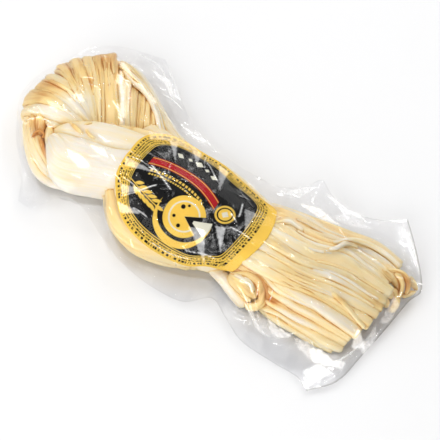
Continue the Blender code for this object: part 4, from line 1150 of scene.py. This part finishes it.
def film_material(settings):
    """Clear and glossy; greyer where it is loose, with painted shade by how its facets face; white on its
    sharpest folds and chosen facets, partly creased film whitening, partly a painted highlight.
    """
    g = Graph("clear_film")
    place = g.object_place()
    crinkle = g.noise(g.stretched(place, (130, 130, 60)), 1.0, 3.0, 0.55, 0.6)
    normal = g.bump(crinkle, 0.0005, 0.35)
    tint = g.mix(g.attribute("haze"), settings.tint, settings.haze)
    tint = g.mix(g.attribute("seam"), tint, settings.seam)
    clear = g.put("ShaderNodeBsdfTransparent", {"Color": tint}).outputs[0]
    gloss = g.principled((1, 1, 1), 0.08, Metallic=1.0, Normal=normal)
    edge = g.field(g.put("ShaderNodeFresnel", {"IOR": 1.28, "Normal": normal}).outputs[0])
    glossy = edge + g.field(g.attribute("weld")) * 0.05
    sheen = g.put("ShaderNodeMixShader", {0: glossy, 1: clear, 2: gloss}).outputs[0]
    # White diffuse and translucent layer for the folds and facets: a painted highlight, partly creased film
    # whitening.
    front = g.put("ShaderNodeBsdfDiffuse", {"Color": (1, 1, 1)}).outputs[0]
    through = g.put("ShaderNodeBsdfTranslucent", {"Color": (1, 1, 1)}).outputs[0]
    white = g.put("ShaderNodeAddShader", {0: front, 1: through}).outputs[0]
    fleck = g.noise(g.stretched(place, (420, 420, 200)), 1.0, 4.0, 0.7)
    milky = (g.field(g.attribute("milky")) * settings.milky * 1.5 - fleck * 0.5).unit()
    return g.surface(g.put("ShaderNodeMixShader", {0: milky, 1: sheen, 2: white}).outputs[0])


class Print(Graph):
    """The label's print: motifs painted one after another, in millimetres from its middle."""

    def __init__(self, settings):
        super().__init__("printed_label")
        flat = self.put("ShaderNodeSeparateXYZ", {0: self.attribute("flat", "Vector")})
        self.x, self.y, self.edge = (self.field(socket) for socket in flat.outputs)
        self.run = self.field(self.attribute("run"))
        self.settings = settings
        self.shade = None

    def paint(self, distance, ink, soft=0.35):
        """Cover the print with an ink wherever the distance is negative."""
        self.shade = self.mix(distance.inside(soft), self.shade, ink)

    def disc(self, centre, radius):
        dx, dy = self.x - centre[0], self.y - centre[1]
        return (dx * dx + dy * dy).root() - radius

    def leaf(self, centre, turn, long, wide):
        """A pointed leaf: where two equal discs overlap."""
        dx, dy = self.x - centre[0], self.y - centre[1]
        u = dx * math.cos(turn) + dy * math.sin(turn)
        v = abs(dy * math.cos(turn) - dx * math.sin(turn))
        radius = (long**2 + wide**2) / (2 * wide)
        off = v + (radius - wide)
        return (u * u + off * off).root() - radius

    def lozenge(self, centre, long, wide):
        return abs(self.x - centre[0]) * (wide / long) + abs(self.y - centre[1]) - wide

    def bowed(self, lift):
        """Height over the ribbon's bow, moved along y."""
        return self.y - (self.x * self.x * -RIBBON_BOW + lift)

    def ground(self):
        """Black, with a painted glare of smoky grey broken up into specks. Gives the specks."""
        place = self.joined(self.x, self.y)
        smoky_glare = self.noise(place, 0.06, 5.0, 0.75, 1.2).between(0.53, 0.63)
        specks = self.noise(place, 0.9, 4.0, 0.85).between(0.49, 0.58)
        self.shade = self.mix(smoky_glare * (specks * 0.8 + 0.2), self.settings.black, self.settings.smoky_glare)
        return specks

    def wheel(self):
        """A golden dish, and on it a cheese wheel with one wedge taken out and set beside it."""
        x, y, ink = self.x, self.y, self.settings
        hub, moved = (14, -13), (19, -13)
        self.paint(self.disc((14, -15), 19.5).high(-self.disc((14, -10.5), 19)), ink.gold)
        notch = (abs(y - hub[1]) - (x - hub[0]) * 0.55) * 0.88
        for radius, shade in ((14, ink.gold), (10.5, ink.milk), (9.4, ink.gold)):
            self.paint(self.disc(hub, radius).high(-notch), shade)
        wedge = (abs(y - moved[1]) - (x - moved[0]) * 0.42) * 0.92
        self.paint(wedge.high(self.disc(moved, 14)).high(-self.disc(moved, 2)), ink.milk)
        for hole, size in (((10, -8), 1.5), ((8, -16), 1.1), ((14, -20), 1.3), ((13, -5.5), 0.9)):
            self.paint(self.disc(hole, size), ink.black)

    def ribbon(self):
        """A red ribbon with golden edges, bowed over the wheel."""
        bow, past_ends = self.bowed(12.5), abs(self.x) - 27
        self.paint((abs(bow) - 3.6).high(past_ends), self.settings.red)
        self.paint((abs(abs(bow) - 2.7) - 0.25).high(past_ends), self.settings.gold)

    def grain(self):
        """An ear of grain in gold on the head's side."""
        for k in range(5):
            for sign in (-1, 1):
                centre = (-24 + 4.2 * k, -15 + sign * 2.6 - 0.5 * k)
                self.paint(self.leaf(centre, sign * (0.55 - 0.03 * k), 3.6, 1.15), self.settings.gold)
        self.paint(self.leaf((-3, -17.3), 0.0, 3.4, 1.2), self.settings.gold)
        stem = (abs(self.y + 15 + (self.x + 24) * 0.12) - 0.35).high(abs(self.x + 17) - 15)
        self.paint(stem, self.settings.gold)

    def lozenges(self):
        """A row of small milky lozenges over the ribbon, largest in the middle."""
        for x, y, size in ((-14, 23, 2.2), (-7, 25.5, 1.5), (0, 26.5, 2.6), (7, 25.5, 1.5), (14, 23, 2.2)):
            self.paint(self.lozenge((x, y), size * 1.3, size), self.settings.milk)

    def seal(self):
        """A round golden seal with a dark ring."""
        ink, centre = self.settings, (35, 2)
        for size, shade in ((6.6, ink.gold), (5.2, ink.black), (4.3, ink.gold)):
            self.paint(self.disc(centre, size), shade)
        self.paint(self.lozenge(centre, 2.6, 2.6), ink.milk)

    def bars(self):
        """Two short bowed rows of golden bars under the ribbon."""
        for lift, pitch, tall in ((4.6, 2.6, 0.9), (1.8, 1.9, 0.6)):
            line = abs(self.bowed(lift)) - tall
            bars = (abs(self.x.wrap(pitch) - pitch / 2) - pitch * 0.32).high(line).high(abs(self.x + 2) - 21)
            self.paint(bars, self.settings.gold, 0.3)

    def border(self):
        """A golden border, with one bold row and a few fine rows of broken dashes."""
        ink, edge = self.settings, self.edge
        row, sides, end = (size / MM for size in (ink.row, ink.border, ink.end_border))
        border = (-self.x).between(20, 42) * (end - sides) + sides
        self.paint(edge - border, ink.gold)
        self.paint((border - edge + 0.7).high(edge - border - 1.3), ink.gold, 0.3)
        rows = edge - 3.4
        broken = self.noise(self.joined(self.run * 1.2, (rows / row).floor() * 7.0), 1.0, 1.0, 0.5)
        lines = abs(rows.wrap(row) - row / 2) - row * 0.3
        fine = lines.high((-broken + 0.49) * 6.0).high(-edge + 3.5).high(edge - border + 0.6)
        self.paint(fine, ink.black, 0.3)
        broken = self.noise(self.joined(self.run * 0.55, 3.0), 1.0, 1.0, 0.5)
        self.paint((abs(edge - 2.3) - 0.75).high((-broken + 0.5) * 6.0), ink.black, 0.3)


def label_material(settings):
    """Black ground with a golden border of fine broken rows, and a few plain motifs."""
    g = Print(settings)
    specks = g.ground()
    for motif in (g.wheel, g.ribbon, g.grain, g.lozenges, g.seal, g.bars, g.border):
        motif()
    wrinkle = g.noise(g.joined(g.x, g.y), 0.25, 3.0, 0.55)
    return g.surface(g.principled(
        g.shade, specks * 0.12 + 0.3, Normal=g.bump(wrinkle, 0.0008, 0.35), Specular_IOR_Level=0.06))


def floor_material(settings):
    g = Graph("white_table")
    grain = g.noise(g.object_place(), 40.0, 2.0)
    shade = g.mix(grain, settings.floor, tuple(c * 0.99 for c in settings.floor))
    return g.surface(g.principled(shade, 0.7, Specular_IOR_Level=0.1))


def shared(name, maker, settings):
    return bpy.data.materials.get(name) or maker(settings)


# ---------------------------------------------------------------- the pieces

class CheeseOperator:
    """What the operators for cheese have in common."""
    bl_options = {"REGISTER", "UNDO"}

    def start(self, context):
        settings = context.scene.cheese
        self.skin = shared("string_cheese", cheese_material, settings)
        self.depth = settings.ridge_depth / MM
        self.wander = settings.wander / MM

    def bunch(self, name, seed, strands, ridges=1.0, **look):
        """One piece of strands that look alike, from routes with how thick each is."""
        bundle = Bundle(seed)
        for route, thick in strands:
            bundle.strand(route, thick, depth=ridges * self.depth, **look)
        bundle.piece(name, self.skin)


class CHEESE_OT_plies(CheeseOperator, bpy.types.Operator):
    """Add the plies of the twist that show beside the label, and the strings under them"""
    bl_idname = "cheese.plies"
    bl_label = "Plies"

    def execute(self, context):
        self.start(context)
        front = Bundle(1)
        front.strand(FRONT_PLY, 40, square=2.35, grooves=8, depth=0.4, wander=0, cell=0.9)
        front.strand(FRONT_UPPER, 18, square=2.5, grooves=7, depth=0.4, wander=0)
        front.strand(FRONT_TOP, 9, grooves=8, depth=self.depth, wander=0)
        front.piece("front_ply", self.skin)
        self.bunch("near_ply", 2, zip(NEAR_STRANDS, (24, 20, 30, 12)), square=2.5, grooves=12)
        self.bunch("far_ply", 3, zip(FAR_STRANDS, (28, 16, 12)), grooves=10)
        self.bunch("under_strings", 16, UNDER_STRINGS, ridges=0.6, square=2.4, grooves=6, wander=0)
        return {"FINISHED"}


class CHEESE_OT_head(CheeseOperator, bpy.types.Operator):
    """Add the looped head: its core, its pleats and the strings along its far side"""
    bl_idname = "cheese.head"
    bl_label = "Head"

    def execute(self, context):
        self.start(context)
        core = Bundle(4)
        core.dome()
        core.piece("head_core", self.skin)
        pleats = [(widened(over_head(route), 1.4), 9) for route in PLEATS]
        self.bunch("head_pleats", 5, pleats, ridges=1.2, square=2.8, grooves=15, wander=0.3 * self.wander)
        thin = [(route, 4) for route in PLEAT_STRINGS]
        self.bunch("pleat_strings", 14, thin, ridges=0.5, grooves=3, wander=0.4 * self.wander)
        rim = [(route, 5) for route in RIM_STRINGS]
        self.bunch("rim_strings", 6, rim, ridges=0.6, grooves=5, wander=0.2 * self.wander)
        return {"FINISHED"}


class CHEESE_OT_turn(CheeseOperator, bpy.types.Operator):
    """Add the strings that turn round the head's near end and the short ends tucked in beside them"""
    bl_idname = "cheese.turn"
    bl_label = "Turned strings"

    def execute(self, context):
        self.start(context)
        turned = Bundle(7)
        turned.strand(TURN_CORE, 22, grooves=7, depth=self.depth, wander=0)
        for route in TURN_STRINGS:
            turned.strand(widened(route, 1.15), 7, grooves=7, depth=self.depth, wander=0.4 * self.wander)
        turned.strand(POCKET_STRING, 12, square=2.5, grooves=6, depth=self.depth, wander=0)
        for route in CURLED_END:
            turned.strand(route, 2.6, grooves=3, depth=0.4 * self.depth, wander=0, step=0.8)
        turned.piece("turned_strings", self.skin)
        ends = [(route, 3.4) for route in TUCKED_ENDS]
        self.bunch("tucked_ends", 8, ends, ridges=0.5, grooves=3, wander=0, step=0.8)
        return {"FINISHED"}


class CHEESE_OT_loose(CheeseOperator, bpy.types.Operator):
    """Add the loose strings past the label, with their cut and folded ends"""
    bl_idname = "cheese.loose"
    bl_label = "Loose strings"

    def execute(self, context):
        self.start(context)
        blunt = (False, True)
        cores = [(route, 15) for route in FAN_CORES]
        self.bunch("loose_core", 9, cores, grooves=12, wander=0, cut=blunt)
        loose = [(widened(route, 1.42), 6) for route in LOOSE_STRINGS]
        self.bunch("loose_strings", 10, loose, ridges=1.3, square=3.0, grooves=11,
                   wander=0.4 * self.wander, cut=blunt)
        thin = [(route, 3.2) for route in THIN_STRINGS]
        self.bunch("thin_strings", 15, thin, ridges=0.5, grooves=3, wander=0.4 * self.wander)
        crossing = [(route, 4) for route in CROSSING_STRINGS]
        self.bunch("crossing_strings", 11, crossing, ridges=0.7, grooves=4, wander=0)
        folded = [(route, 4.5) for route in FOLDED_ENDS]
        self.bunch("folded_ends", 12, folded, grooves=5, wander=0, step=0.9)
        return {"FINISHED"}


class CHEESE_OT_tie(CheeseOperator, bpy.types.Operator):
    """Add the string that ties the bundle, and its curled end"""
    bl_idname = "cheese.tie"
    bl_label = "Tie"

    def execute(self, context):
        self.start(context)
        self.bunch("tie_string", 13, TIE, grooves=6, wander=0, step=0.9)
        return {"FINISHED"}


class CHEESE_OT_crevice_shade(CheeseOperator, bpy.types.Operator):
    """Deepen the cheese's tone: golden in crevices and hollows by how closed in each point is, painted shade
    that is partly the cheese's own golden colour; and at the browned places, dried browning and painted
    shade.
    """
    bl_idname = "cheese.ripen"
    bl_label = "Golden crevices"

    def deepen_tone(self, mesh, tone):
        """Add the browned places, dried browning and painted shade, to the tone of each vertex."""
        place = np.zeros(3 * len(tone), np.float32)
        mesh.vertices.foreach_get("co", place)
        for centre, radius, amount in BROWNED_AND_SHADED_PLACES:
            gap = np.linalg.norm(place.reshape(-1, 3) / MM - centre, axis=1)
            tone += amount * np.exp(-(gap / radius) ** 2)

    def execute(self, context):
        settings = context.scene.cheese
        tree = contents_tree()
        near, far = settings.crevice_near, settings.crevice_far
        rays = [Vector((math.cos(a) * 0.8, math.sin(a) * 0.8, 0.6)) for a in np.linspace(0, 5.4, 7)] + [UP]
        for piece in [o for o in bpy.data.objects if o.get("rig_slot") == "cheese"]:
            mesh = piece.data
            tone = np.zeros(len(mesh.vertices), np.float32)
            mesh.attributes["tone"].data.foreach_get("value", tone)
            self.deepen_tone(mesh, tone)
            for vertex in mesh.vertices:
                if vertex.normal.z < -0.4:
                    continue
                turn = UP.rotation_difference(vertex.normal)
                start = vertex.co + vertex.normal * (0.2 * MM)
                close, wide = 0.0, 0.0
                for ray in rays:
                    hit = tree.ray_cast(start, turn @ ray, far)
                    if hit[0] is not None:
                        wide += 1 - hit[3] / far
                        close += max(0.0, 1 - hit[3] / near)
                # Golden by how closed in each point is: painted shade in crevices and hollows, partly the
                # cheese's own golden colour.
                tone[vertex.index] += settings.crevice_painted_shade * (close / len(rays)) ** 0.8
                tone[vertex.index] += settings.hollow_painted_shade * wide / len(rays)
            store(mesh, "tone", tone)
        return {"FINISHED"}


class CHEESE_OT_label(bpy.types.Operator):
    """Lay the printed label over the middle of the braid"""
    bl_idname = "cheese.label"
    bl_label = "Label"

    def surface(self, rows, columns):
        """The label's top: a taut sheet over the cheese, near edge to far edge in each row."""
        near, far = (flat_curve(side, rows)[:, None] for side in (LABEL_NEAR, LABEL_FAR))
        v = np.linspace(0, 1, columns)
        u = np.linspace(0, 1, rows)[:, None]
        bow = LABEL_BOW * u**3 * (1 - (2 * v - 1) ** 2)
        x = near[..., 0] * (1 - v) + far[..., 0] * v + bow
        y = near[..., 1] * (1 - v) + far[..., 1] * v
        height = drop(contents_tree(), x, y, missing=4.0)
        return np.stack([x, y, blurred(taut(height, 260), 30) + LABEL_LIFT], axis=-1)

    def distances(self, flat, line, run, end, band):
        """How far each point is from the label's rim, with rounded corners, and which place on the
        rim is nearest. The plain band at the strings' end counts as past the rim."""
        edge, where = np.full(len(flat), FAR_AWAY), np.zeros(len(flat))
        batch = 4000
        for chosen, extra in ((~end, 0.0), (end, -band)):
            picked, runs = line[chosen][::2], run[chosen][::2]
            for start in range(0, len(flat), batch):
                part = slice(start, start + batch)
                gap = np.linalg.norm(flat[part, None, :] - picked[None], axis=2)
                best = gap.argmin(1)
                reach = gap[np.arange(len(gap)), best] + extra
                so_far = edge[part]
                where[part] = np.where(reach < so_far, runs[best], where[part])
                rounding = CORNER_CUT * np.exp(-np.abs(so_far - reach) / CORNER_SPREAD)
                edge[part] = np.minimum(so_far, reach) - rounding
        return edge, where

    def execute(self, context):
        settings = context.scene.cheese_label
        rows, columns = 190, 170
        surface = self.surface(rows, columns)
        flat_x, flat_y = rolled_flat(surface)
        rows_of, columns_of = rim_of(rows, columns)
        line = np.stack([flat_x[rows_of, columns_of], flat_y[rows_of, columns_of]], axis=1)
        run = np.concatenate([[0], np.cumsum(np.linalg.norm(np.diff(line, axis=0), axis=1))])
        flat = np.stack([flat_x.reshape(-1), flat_y.reshape(-1)], axis=1)
        edge, where = self.distances(flat, line, run, rows_of == rows - 1, settings.band / MM)
        normal = np.cross(np.gradient(surface, axis=0), np.gradient(surface, axis=1))
        normal = unit(np.where(normal[..., 2:] < 0, -normal, normal))
        top = surface.reshape(-1, 3)
        under = (surface - normal * (settings.thickness / MM)).reshape(-1, 3)
        count = rows * columns
        faces = grid_faces(rows, columns) + grid_faces(rows, columns, count, flip=True)
        rim = (rows_of * columns + columns_of).tolist()
        faces += [(a, a + count, b + count, b) for a, b in zip(rim, rim[1:] + rim[:1])]
        mesh = bpy.data.meshes.new("printed_label")
        mesh.from_pydata((np.concatenate([top, under]) * MM).tolist(), [], faces)
        both = np.column_stack([flat, edge])
        store(mesh, "flat", np.concatenate([both, both]))
        store(mesh, "run", np.concatenate([where, where]))
        piece = placed("printed_label", mesh, shared("printed_label", label_material, settings), "label")
        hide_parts("label")
        return {"FINISHED"}


class CHEESE_OT_film(bpy.types.Operator):
    """Draw the clear film tight over the cheese and weld its rim"""
    bl_idname = "cheese.film"
    bl_label = "Film"

    def patch(self, rows, columns):
        """The welded middle plane of the bag: x, y and height."""
        u, v = np.linspace(0, 1, rows)[:, None, None], np.linspace(0, 1, columns)[None, :, None]
        near, far = (curve_through(edge, rows)[:, None] for edge in (NEAR_EDGE, FAR_EDGE))
        head, tail = (curve_through(edge, columns)[None] for edge in (HEAD_EDGE, TAIL_EDGE))
        corners = (1 - v) * ((1 - u) * near[:1] + u * near[-1:]) + v * ((1 - u) * far[:1] + u * far[-1:])
        return (1 - v) * near + v * far + (1 - u) * head + u * tail - corners

    def facets(self, x, y, rng):
        """Crumpled film: straight folds in many directions that cut each other into facets."""
        bent_x = x + 3.5 * np.sin(y / 17 + 1) + 2 * np.sin(x / 9 + y / 13)
        bent_y = y + 3.5 * np.sin(x / 19 + 2) + 2 * np.sin(y / 8 - x / 15)
        height = np.zeros_like(x)
        for pitch in (34, 27, 21, 16, 12, 9):
            way = rng.uniform(0, math.pi)
            place = (bent_x * math.cos(way) + bent_y * math.sin(way)) / pitch + rng.uniform(0, 2)
            height += pitch / 34 * (np.abs(place % 2 - 1) - 0.5)
        return height

    def fold(self, x, y, points, wide):
        """One sharp fold: 1 along its crest, falling to 0 beside it and at its ends."""
        line = flat_curve(points, FOLD_STEPS + 1)[:, :2]
        gap = np.full(x.shape, FAR_AWAY)
        place = np.zeros(x.shape)
        for k, (a, b) in enumerate(zip(line, line[1:])):
            way = b - a
            t = np.clip(((x - a[0]) * way[0] + (y - a[1]) * way[1]) / (way @ way), 0, 1)
            reach = np.hypot(x - a[0] - t * way[0], y - a[1] - t * way[1])
            place = np.where(reach < gap, (k + t) / FOLD_STEPS, place)
            gap = np.minimum(gap, reach)
        fade = np.clip(np.minimum(place, 1 - place) * 6, 0, 1)
        return np.clip(1 - gap / wide, 0, 1) ** 1.3 * fade

    def stray_folds(self, x, y, covered, rng):
        """Short folds out of the cheese into the loose film, and small wrinkles over the cheese."""
        soft = blurred(covered.astype(float), 30)
        border = np.argwhere((soft > 0.35) & (soft < 0.5))
        slope_i, slope_j = np.gradient(soft)
        folds = []
        for i, j in border[rng.choice(len(border), STRAY_FOLDS, replace=False)]:
            out = -np.array([slope_i[i, j], slope_j[i, j]])
            out /= max(np.hypot(*out), 1e-6)
            twist = rng.uniform(-0.6, 0.6)
            c, s = math.cos(twist), math.sin(twist)
            out = np.array([out[0] * c - out[1] * s, out[0] * s + out[1] * c])
            start = np.array([x[i, j], y[i, j]])
            reach = rng.uniform(8, 22)
            bend = rng.uniform(-2, 2)
            middle = start + out * reach / 2 + bend * np.array([-out[1], out[0]])
            course = [tuple(start - out * 2), tuple(middle), tuple(start + out * reach)]
            folds.append((course, rng.uniform(0.4, 1.3), rng.uniform(1.0, 2.0), rng.uniform(0, 0.35)))
        inside = np.argwhere(covered & (blurred(covered.astype(float), 6) > 0.9))
        for i, j in inside[rng.choice(len(inside), WRINKLES, replace=False)]:
            start = np.array([x[i, j], y[i, j]])
            way = rng.normal(-0.1, 0.5)
            reach = rng.uniform(4, 14)
            ahead = reach * np.array([math.cos(way), math.sin(way)])
            middle = start + ahead / 2 + rng.uniform(-0.8, 0.8) * np.array([-ahead[1], ahead[0]]) / reach
            course = [tuple(start), tuple(middle), tuple(start + ahead)]
            high, wide = rng.uniform(0.2, 0.45), rng.uniform(0.8, 1.1)
            folds.append((course, high, wide, rng.choice([0, 0.35, 0.6, 0.8])))
        return folds

    def within(self, x, y, corners):
        """1 inside the corners, 0 outside."""
        inside = np.zeros(x.shape, bool)
        for (ax, ay), (bx, by) in zip(corners, corners[1:] + corners[:1]):
            if ay != by:
                crossed = ax + (y - ay) / (by - ay) * (bx - ax) > x
                inside ^= ((ay > y) != (by > y)) & crossed
        return inside.astype(float)

    def haze_and_facet_shade(self, x, y, crumpled):
        """How grey the loose film is made: by place, and by how its facets face, which is painted shade."""
        # Facets that slope one way are greyer: painted shade by how they face.
        slope = np.gradient(crumpled, axis=0) * 2.2 + np.gradient(crumpled, axis=1) * 1.4
        shade = np.clip(0.5 + 4 * slope, 0, 1)
        weight = [1 / ((x - px) ** 2 + (y - py) ** 2 + 60) ** 2 for px, py, _ in FILM_GREY_PLACES]
        amount = sum(w * place[2] for w, place in zip(weight, FILM_GREY_PLACES)) / sum(weight)
        return amount * (0.3 + 1.0 * shade)

    def sheet(self, name, x, y, z, tones, skin):
        mesh = bpy.data.meshes.new(name)
        points = np.stack([x, y, z], axis=-1).reshape(-1, 3)
        mesh.from_pydata((points * MM).tolist(), [], grid_faces(*x.shape))
        for tone, values in tones.items():
            store(mesh, tone, values.reshape(-1))
        return placed(name, mesh, skin, "film")

    def execute(self, context):
        settings = context.scene.cheese_film
        rng = np.random.default_rng(SEED)
        cell = settings.cell / MM
        rows, columns = (min(int(span / cell), most) for span, most in zip(FILM_SPAN, FINEST_FILM))
        patch = self.patch(rows, columns)
        x, y, base = patch[..., 0], patch[..., 1], patch[..., 2]
        solid = drop(contents_tree(), x, y, missing=-1.0)
        covered = solid > 0

        # The upper film, taut over the cheese, crumpled where it is loose.
        lift = np.where(covered, solid + settings.clearance / MM, base)
        top = taut(np.maximum(lift, base), int((settings.bridge / cell / MM) ** 2 / 2.5))
        top = np.maximum(blurred(top, 2), np.where(covered, solid + 0.15, 0))
        loose = 1 - smooth_step(1.0, 7.0, top - base)
        crumpled = self.facets(x, y, rng)
        tail = smooth_step(96, 140, x)
        top = top + settings.crumple / MM * crumpled * (0.16 + 0.84 * loose) * (1 + 0.8 * tail)
        # White on fold crests and chosen facets: a painted highlight, partly creased film whitening.
        milky = np.zeros_like(x)
        for points, high, wide, white in FILM_FOLDS + self.stray_folds(x, y, covered, rng):
            crest = self.fold(x, y, points, wide)
            top = top + high * crest
            milky = np.maximum(milky, white * crest**1.5)
        for corners, white in FILM_FACETS:
            milky = np.maximum(milky, white * blurred(self.within(x, y, corners), 2))
        # Greyer by place, and painted shade by how each facet faces; none where the film lies on the cheese.
        haze = self.haze_and_facet_shade(x, y, crumpled) * loose * (1 - blurred(covered.astype(float), 3))

        # Its rim, with the weld at the strings' end.
        i, j = np.arange(rows), np.arange(columns)
        from_rim = np.minimum(np.minimum(i, i[::-1])[:, None], np.minimum(j, j[::-1])) * cell
        ease = smooth_step(0, 4, from_rim)
        top = base + (top - base) * ease + RIM_GAP
        top = np.maximum(top, np.where(covered, solid + 0.1, 0.5))
        to_tail = np.linalg.norm(patch[-1:, :, :2] - patch[..., :2], axis=2)
        weld = ((to_tail > 3) & (to_tail < 3 + settings.weld_width / MM)).astype(float) * loose
        top = top + weld * 0.25 * np.sin(to_tail * 4)
        seam = np.exp(-(to_tail / 0.8) ** 2) + 0.35 * np.exp(-(from_rim / 0.7) ** 2)
        seam = np.clip(seam, 0, 1) * smooth_step(-20, 60, x)

        # The lower film, flat on the table under the cheese.
        under = np.where(covered, 0.3, base - RIM_GAP)
        under = np.minimum(blurred(-taut(-under, 14), 6), base - 0.1)
        under = np.maximum(np.where(ease < 0.3, base - 0.1, under), 0.15)

        skin = shared("clear_film", film_material, settings)
        tones = {"weld": weld, "haze": haze, "milky": milky, "seam": seam}
        upper = self.sheet("film_top", x, y, top, tones, skin)
        half = (slice(None, None, 2), slice(None, None, 2))
        plain = {"weld": weld[half], "haze": haze[half], "milky": 0 * weld[half], "seam": seam[half]}
        lower = self.sheet("film_underside", x[half], y[half], under[half], plain, skin)
        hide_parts("sealed_bag")
        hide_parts("sealed_bag")
        return {"FINISHED"}


def outwards(azimuth, elevation):
    """Direction out from the pack; an azimuth of 0 is the near side."""
    level = math.cos(elevation)
    return Vector((math.sin(azimuth) * level, -math.cos(azimuth) * level, math.sin(elevation)))


class CHEESE_OT_stage(bpy.types.Operator):
    """Set up the table, the lights and the camera"""
    bl_idname = "cheese.stage"
    bl_label = "Stage"

    def put(self, name, data, out, place):
        """A lamp or a camera at a place, turned to look back along out."""
        holder = bpy.data.objects.new(name, data)
        bpy.context.scene.collection.objects.link(holder)
        holder.location = place
        holder.rotation_euler = out.to_track_quat("Z", "Y").to_euler()
        return holder

    def panel(self, name, azimuth, elevation, away, size, brightness):
        """A square panel of light aimed at the pack, that bright whatever its size."""
        lamp = bpy.data.lights.new(name, "AREA")
        lamp.shape = "SQUARE"
        lamp.size = size
        lamp.energy = math.pi * size**2 * brightness
        out = outwards(math.radians(azimuth), math.radians(elevation))
        self.put(name, lamp, out, out * away)

    def table(self, settings):
        half = TABLE_SIZE / 2
        corners = [(-half, -half, 0), (half, -half, 0), (half, half, 0), (-half, half, 0)]
        mesh = bpy.data.meshes.new("table")
        mesh.from_pydata(corners, [], [(0, 1, 2, 3)])
        mesh.materials.append(shared("white_table", floor_material, settings))
        table = bpy.data.objects.new("table", mesh)
        bpy.context.scene.collection.objects.link(table)

    def execute(self, context):
        settings, scene = context.scene.cheese_stage, context.scene
        self.table(settings)
        camera = bpy.data.cameras.new("camera")
        camera.lens, camera.sensor_width = settings.lens, 36
        back = outwards(settings.azimuth, settings.elevation)
        scene.camera = self.put("camera", camera, back, Vector(AIM) * MM + back * settings.distance)
        self.panel("front_panel", 5, 30, 1.3, 1.3, settings.front)
        self.panel("left_panel", -65, 42, 1.3, 1.0, 1.05 * settings.side)
        self.panel("back_panel", 180, 34, 1.3, 0.9, 1.6 * settings.side)
        for k, (azimuth, elevation) in enumerate(GLINTS):
            self.panel(f"glint_{k}", azimuth, elevation, 1.0, 0.035, settings.glint)
        world = bpy.data.worlds.new("even_light")
        world.use_nodes = True
        sky = world.node_tree.nodes["Background"]
        sky.inputs["Color"].default_value = (1, 1, 1, 1)
        sky.inputs["Strength"].default_value = settings.sky
        scene.world = world
        scene.view_settings.view_transform = "Standard"
        return {"FINISHED"}


class CHEESE_PT_panel(bpy.types.Panel):
    """Everything that makes up the pack"""
    bl_label = "Braided string cheese"
    bl_idname = "CHEESE_PT_panel"
    bl_space_type = "VIEW_3D"
    bl_region_type = "UI"
    bl_category = "Cheese"

    def draw(self, context):
        for operator in OPERATORS:
            self.layout.operator(operator.bl_idname)
        for name in SETTINGS:
            group = getattr(context.scene, name)
            box = self.layout.box()
            for key in group.__annotations__:
                box.prop(group, key)


OPERATORS = (
    CHEESE_OT_plies, CHEESE_OT_head, CHEESE_OT_turn, CHEESE_OT_loose, CHEESE_OT_tie,
    CHEESE_OT_crevice_shade, CHEESE_OT_label, CHEESE_OT_film, CHEESE_OT_stage,
)
SETTINGS = {
    "cheese": CheeseSettings,
    "cheese_film": FilmSettings,
    "cheese_label": LabelSettings,
    "cheese_stage": StageSettings,
}


def register():
    for name, group in SETTINGS.items():
        bpy.utils.register_class(group)
        setattr(bpy.types.Scene, name, bpy.props.PointerProperty(type=group))
    for operator in OPERATORS:
        bpy.utils.register_class(operator)
    bpy.utils.register_class(CHEESE_PT_panel)


def unregister():
    bpy.utils.unregister_class(CHEESE_PT_panel)
    for operator in reversed(OPERATORS):
        bpy.utils.unregister_class(operator)
    for name, group in SETTINGS.items():
        delattr(bpy.types.Scene, name)
        bpy.utils.unregister_class(group)


def main():
    register()
    bpy.ops.cheese.plies()
    bpy.ops.cheese.head()
    bpy.ops.cheese.turn()
    bpy.ops.cheese.loose()
    bpy.ops.cheese.tie()
    bpy.ops.cheese.ripen()
    bpy.ops.cheese.label()
    bpy.ops.cheese.film()
    bpy.ops.cheese.stage()


if __name__ == "__main__":
    main()
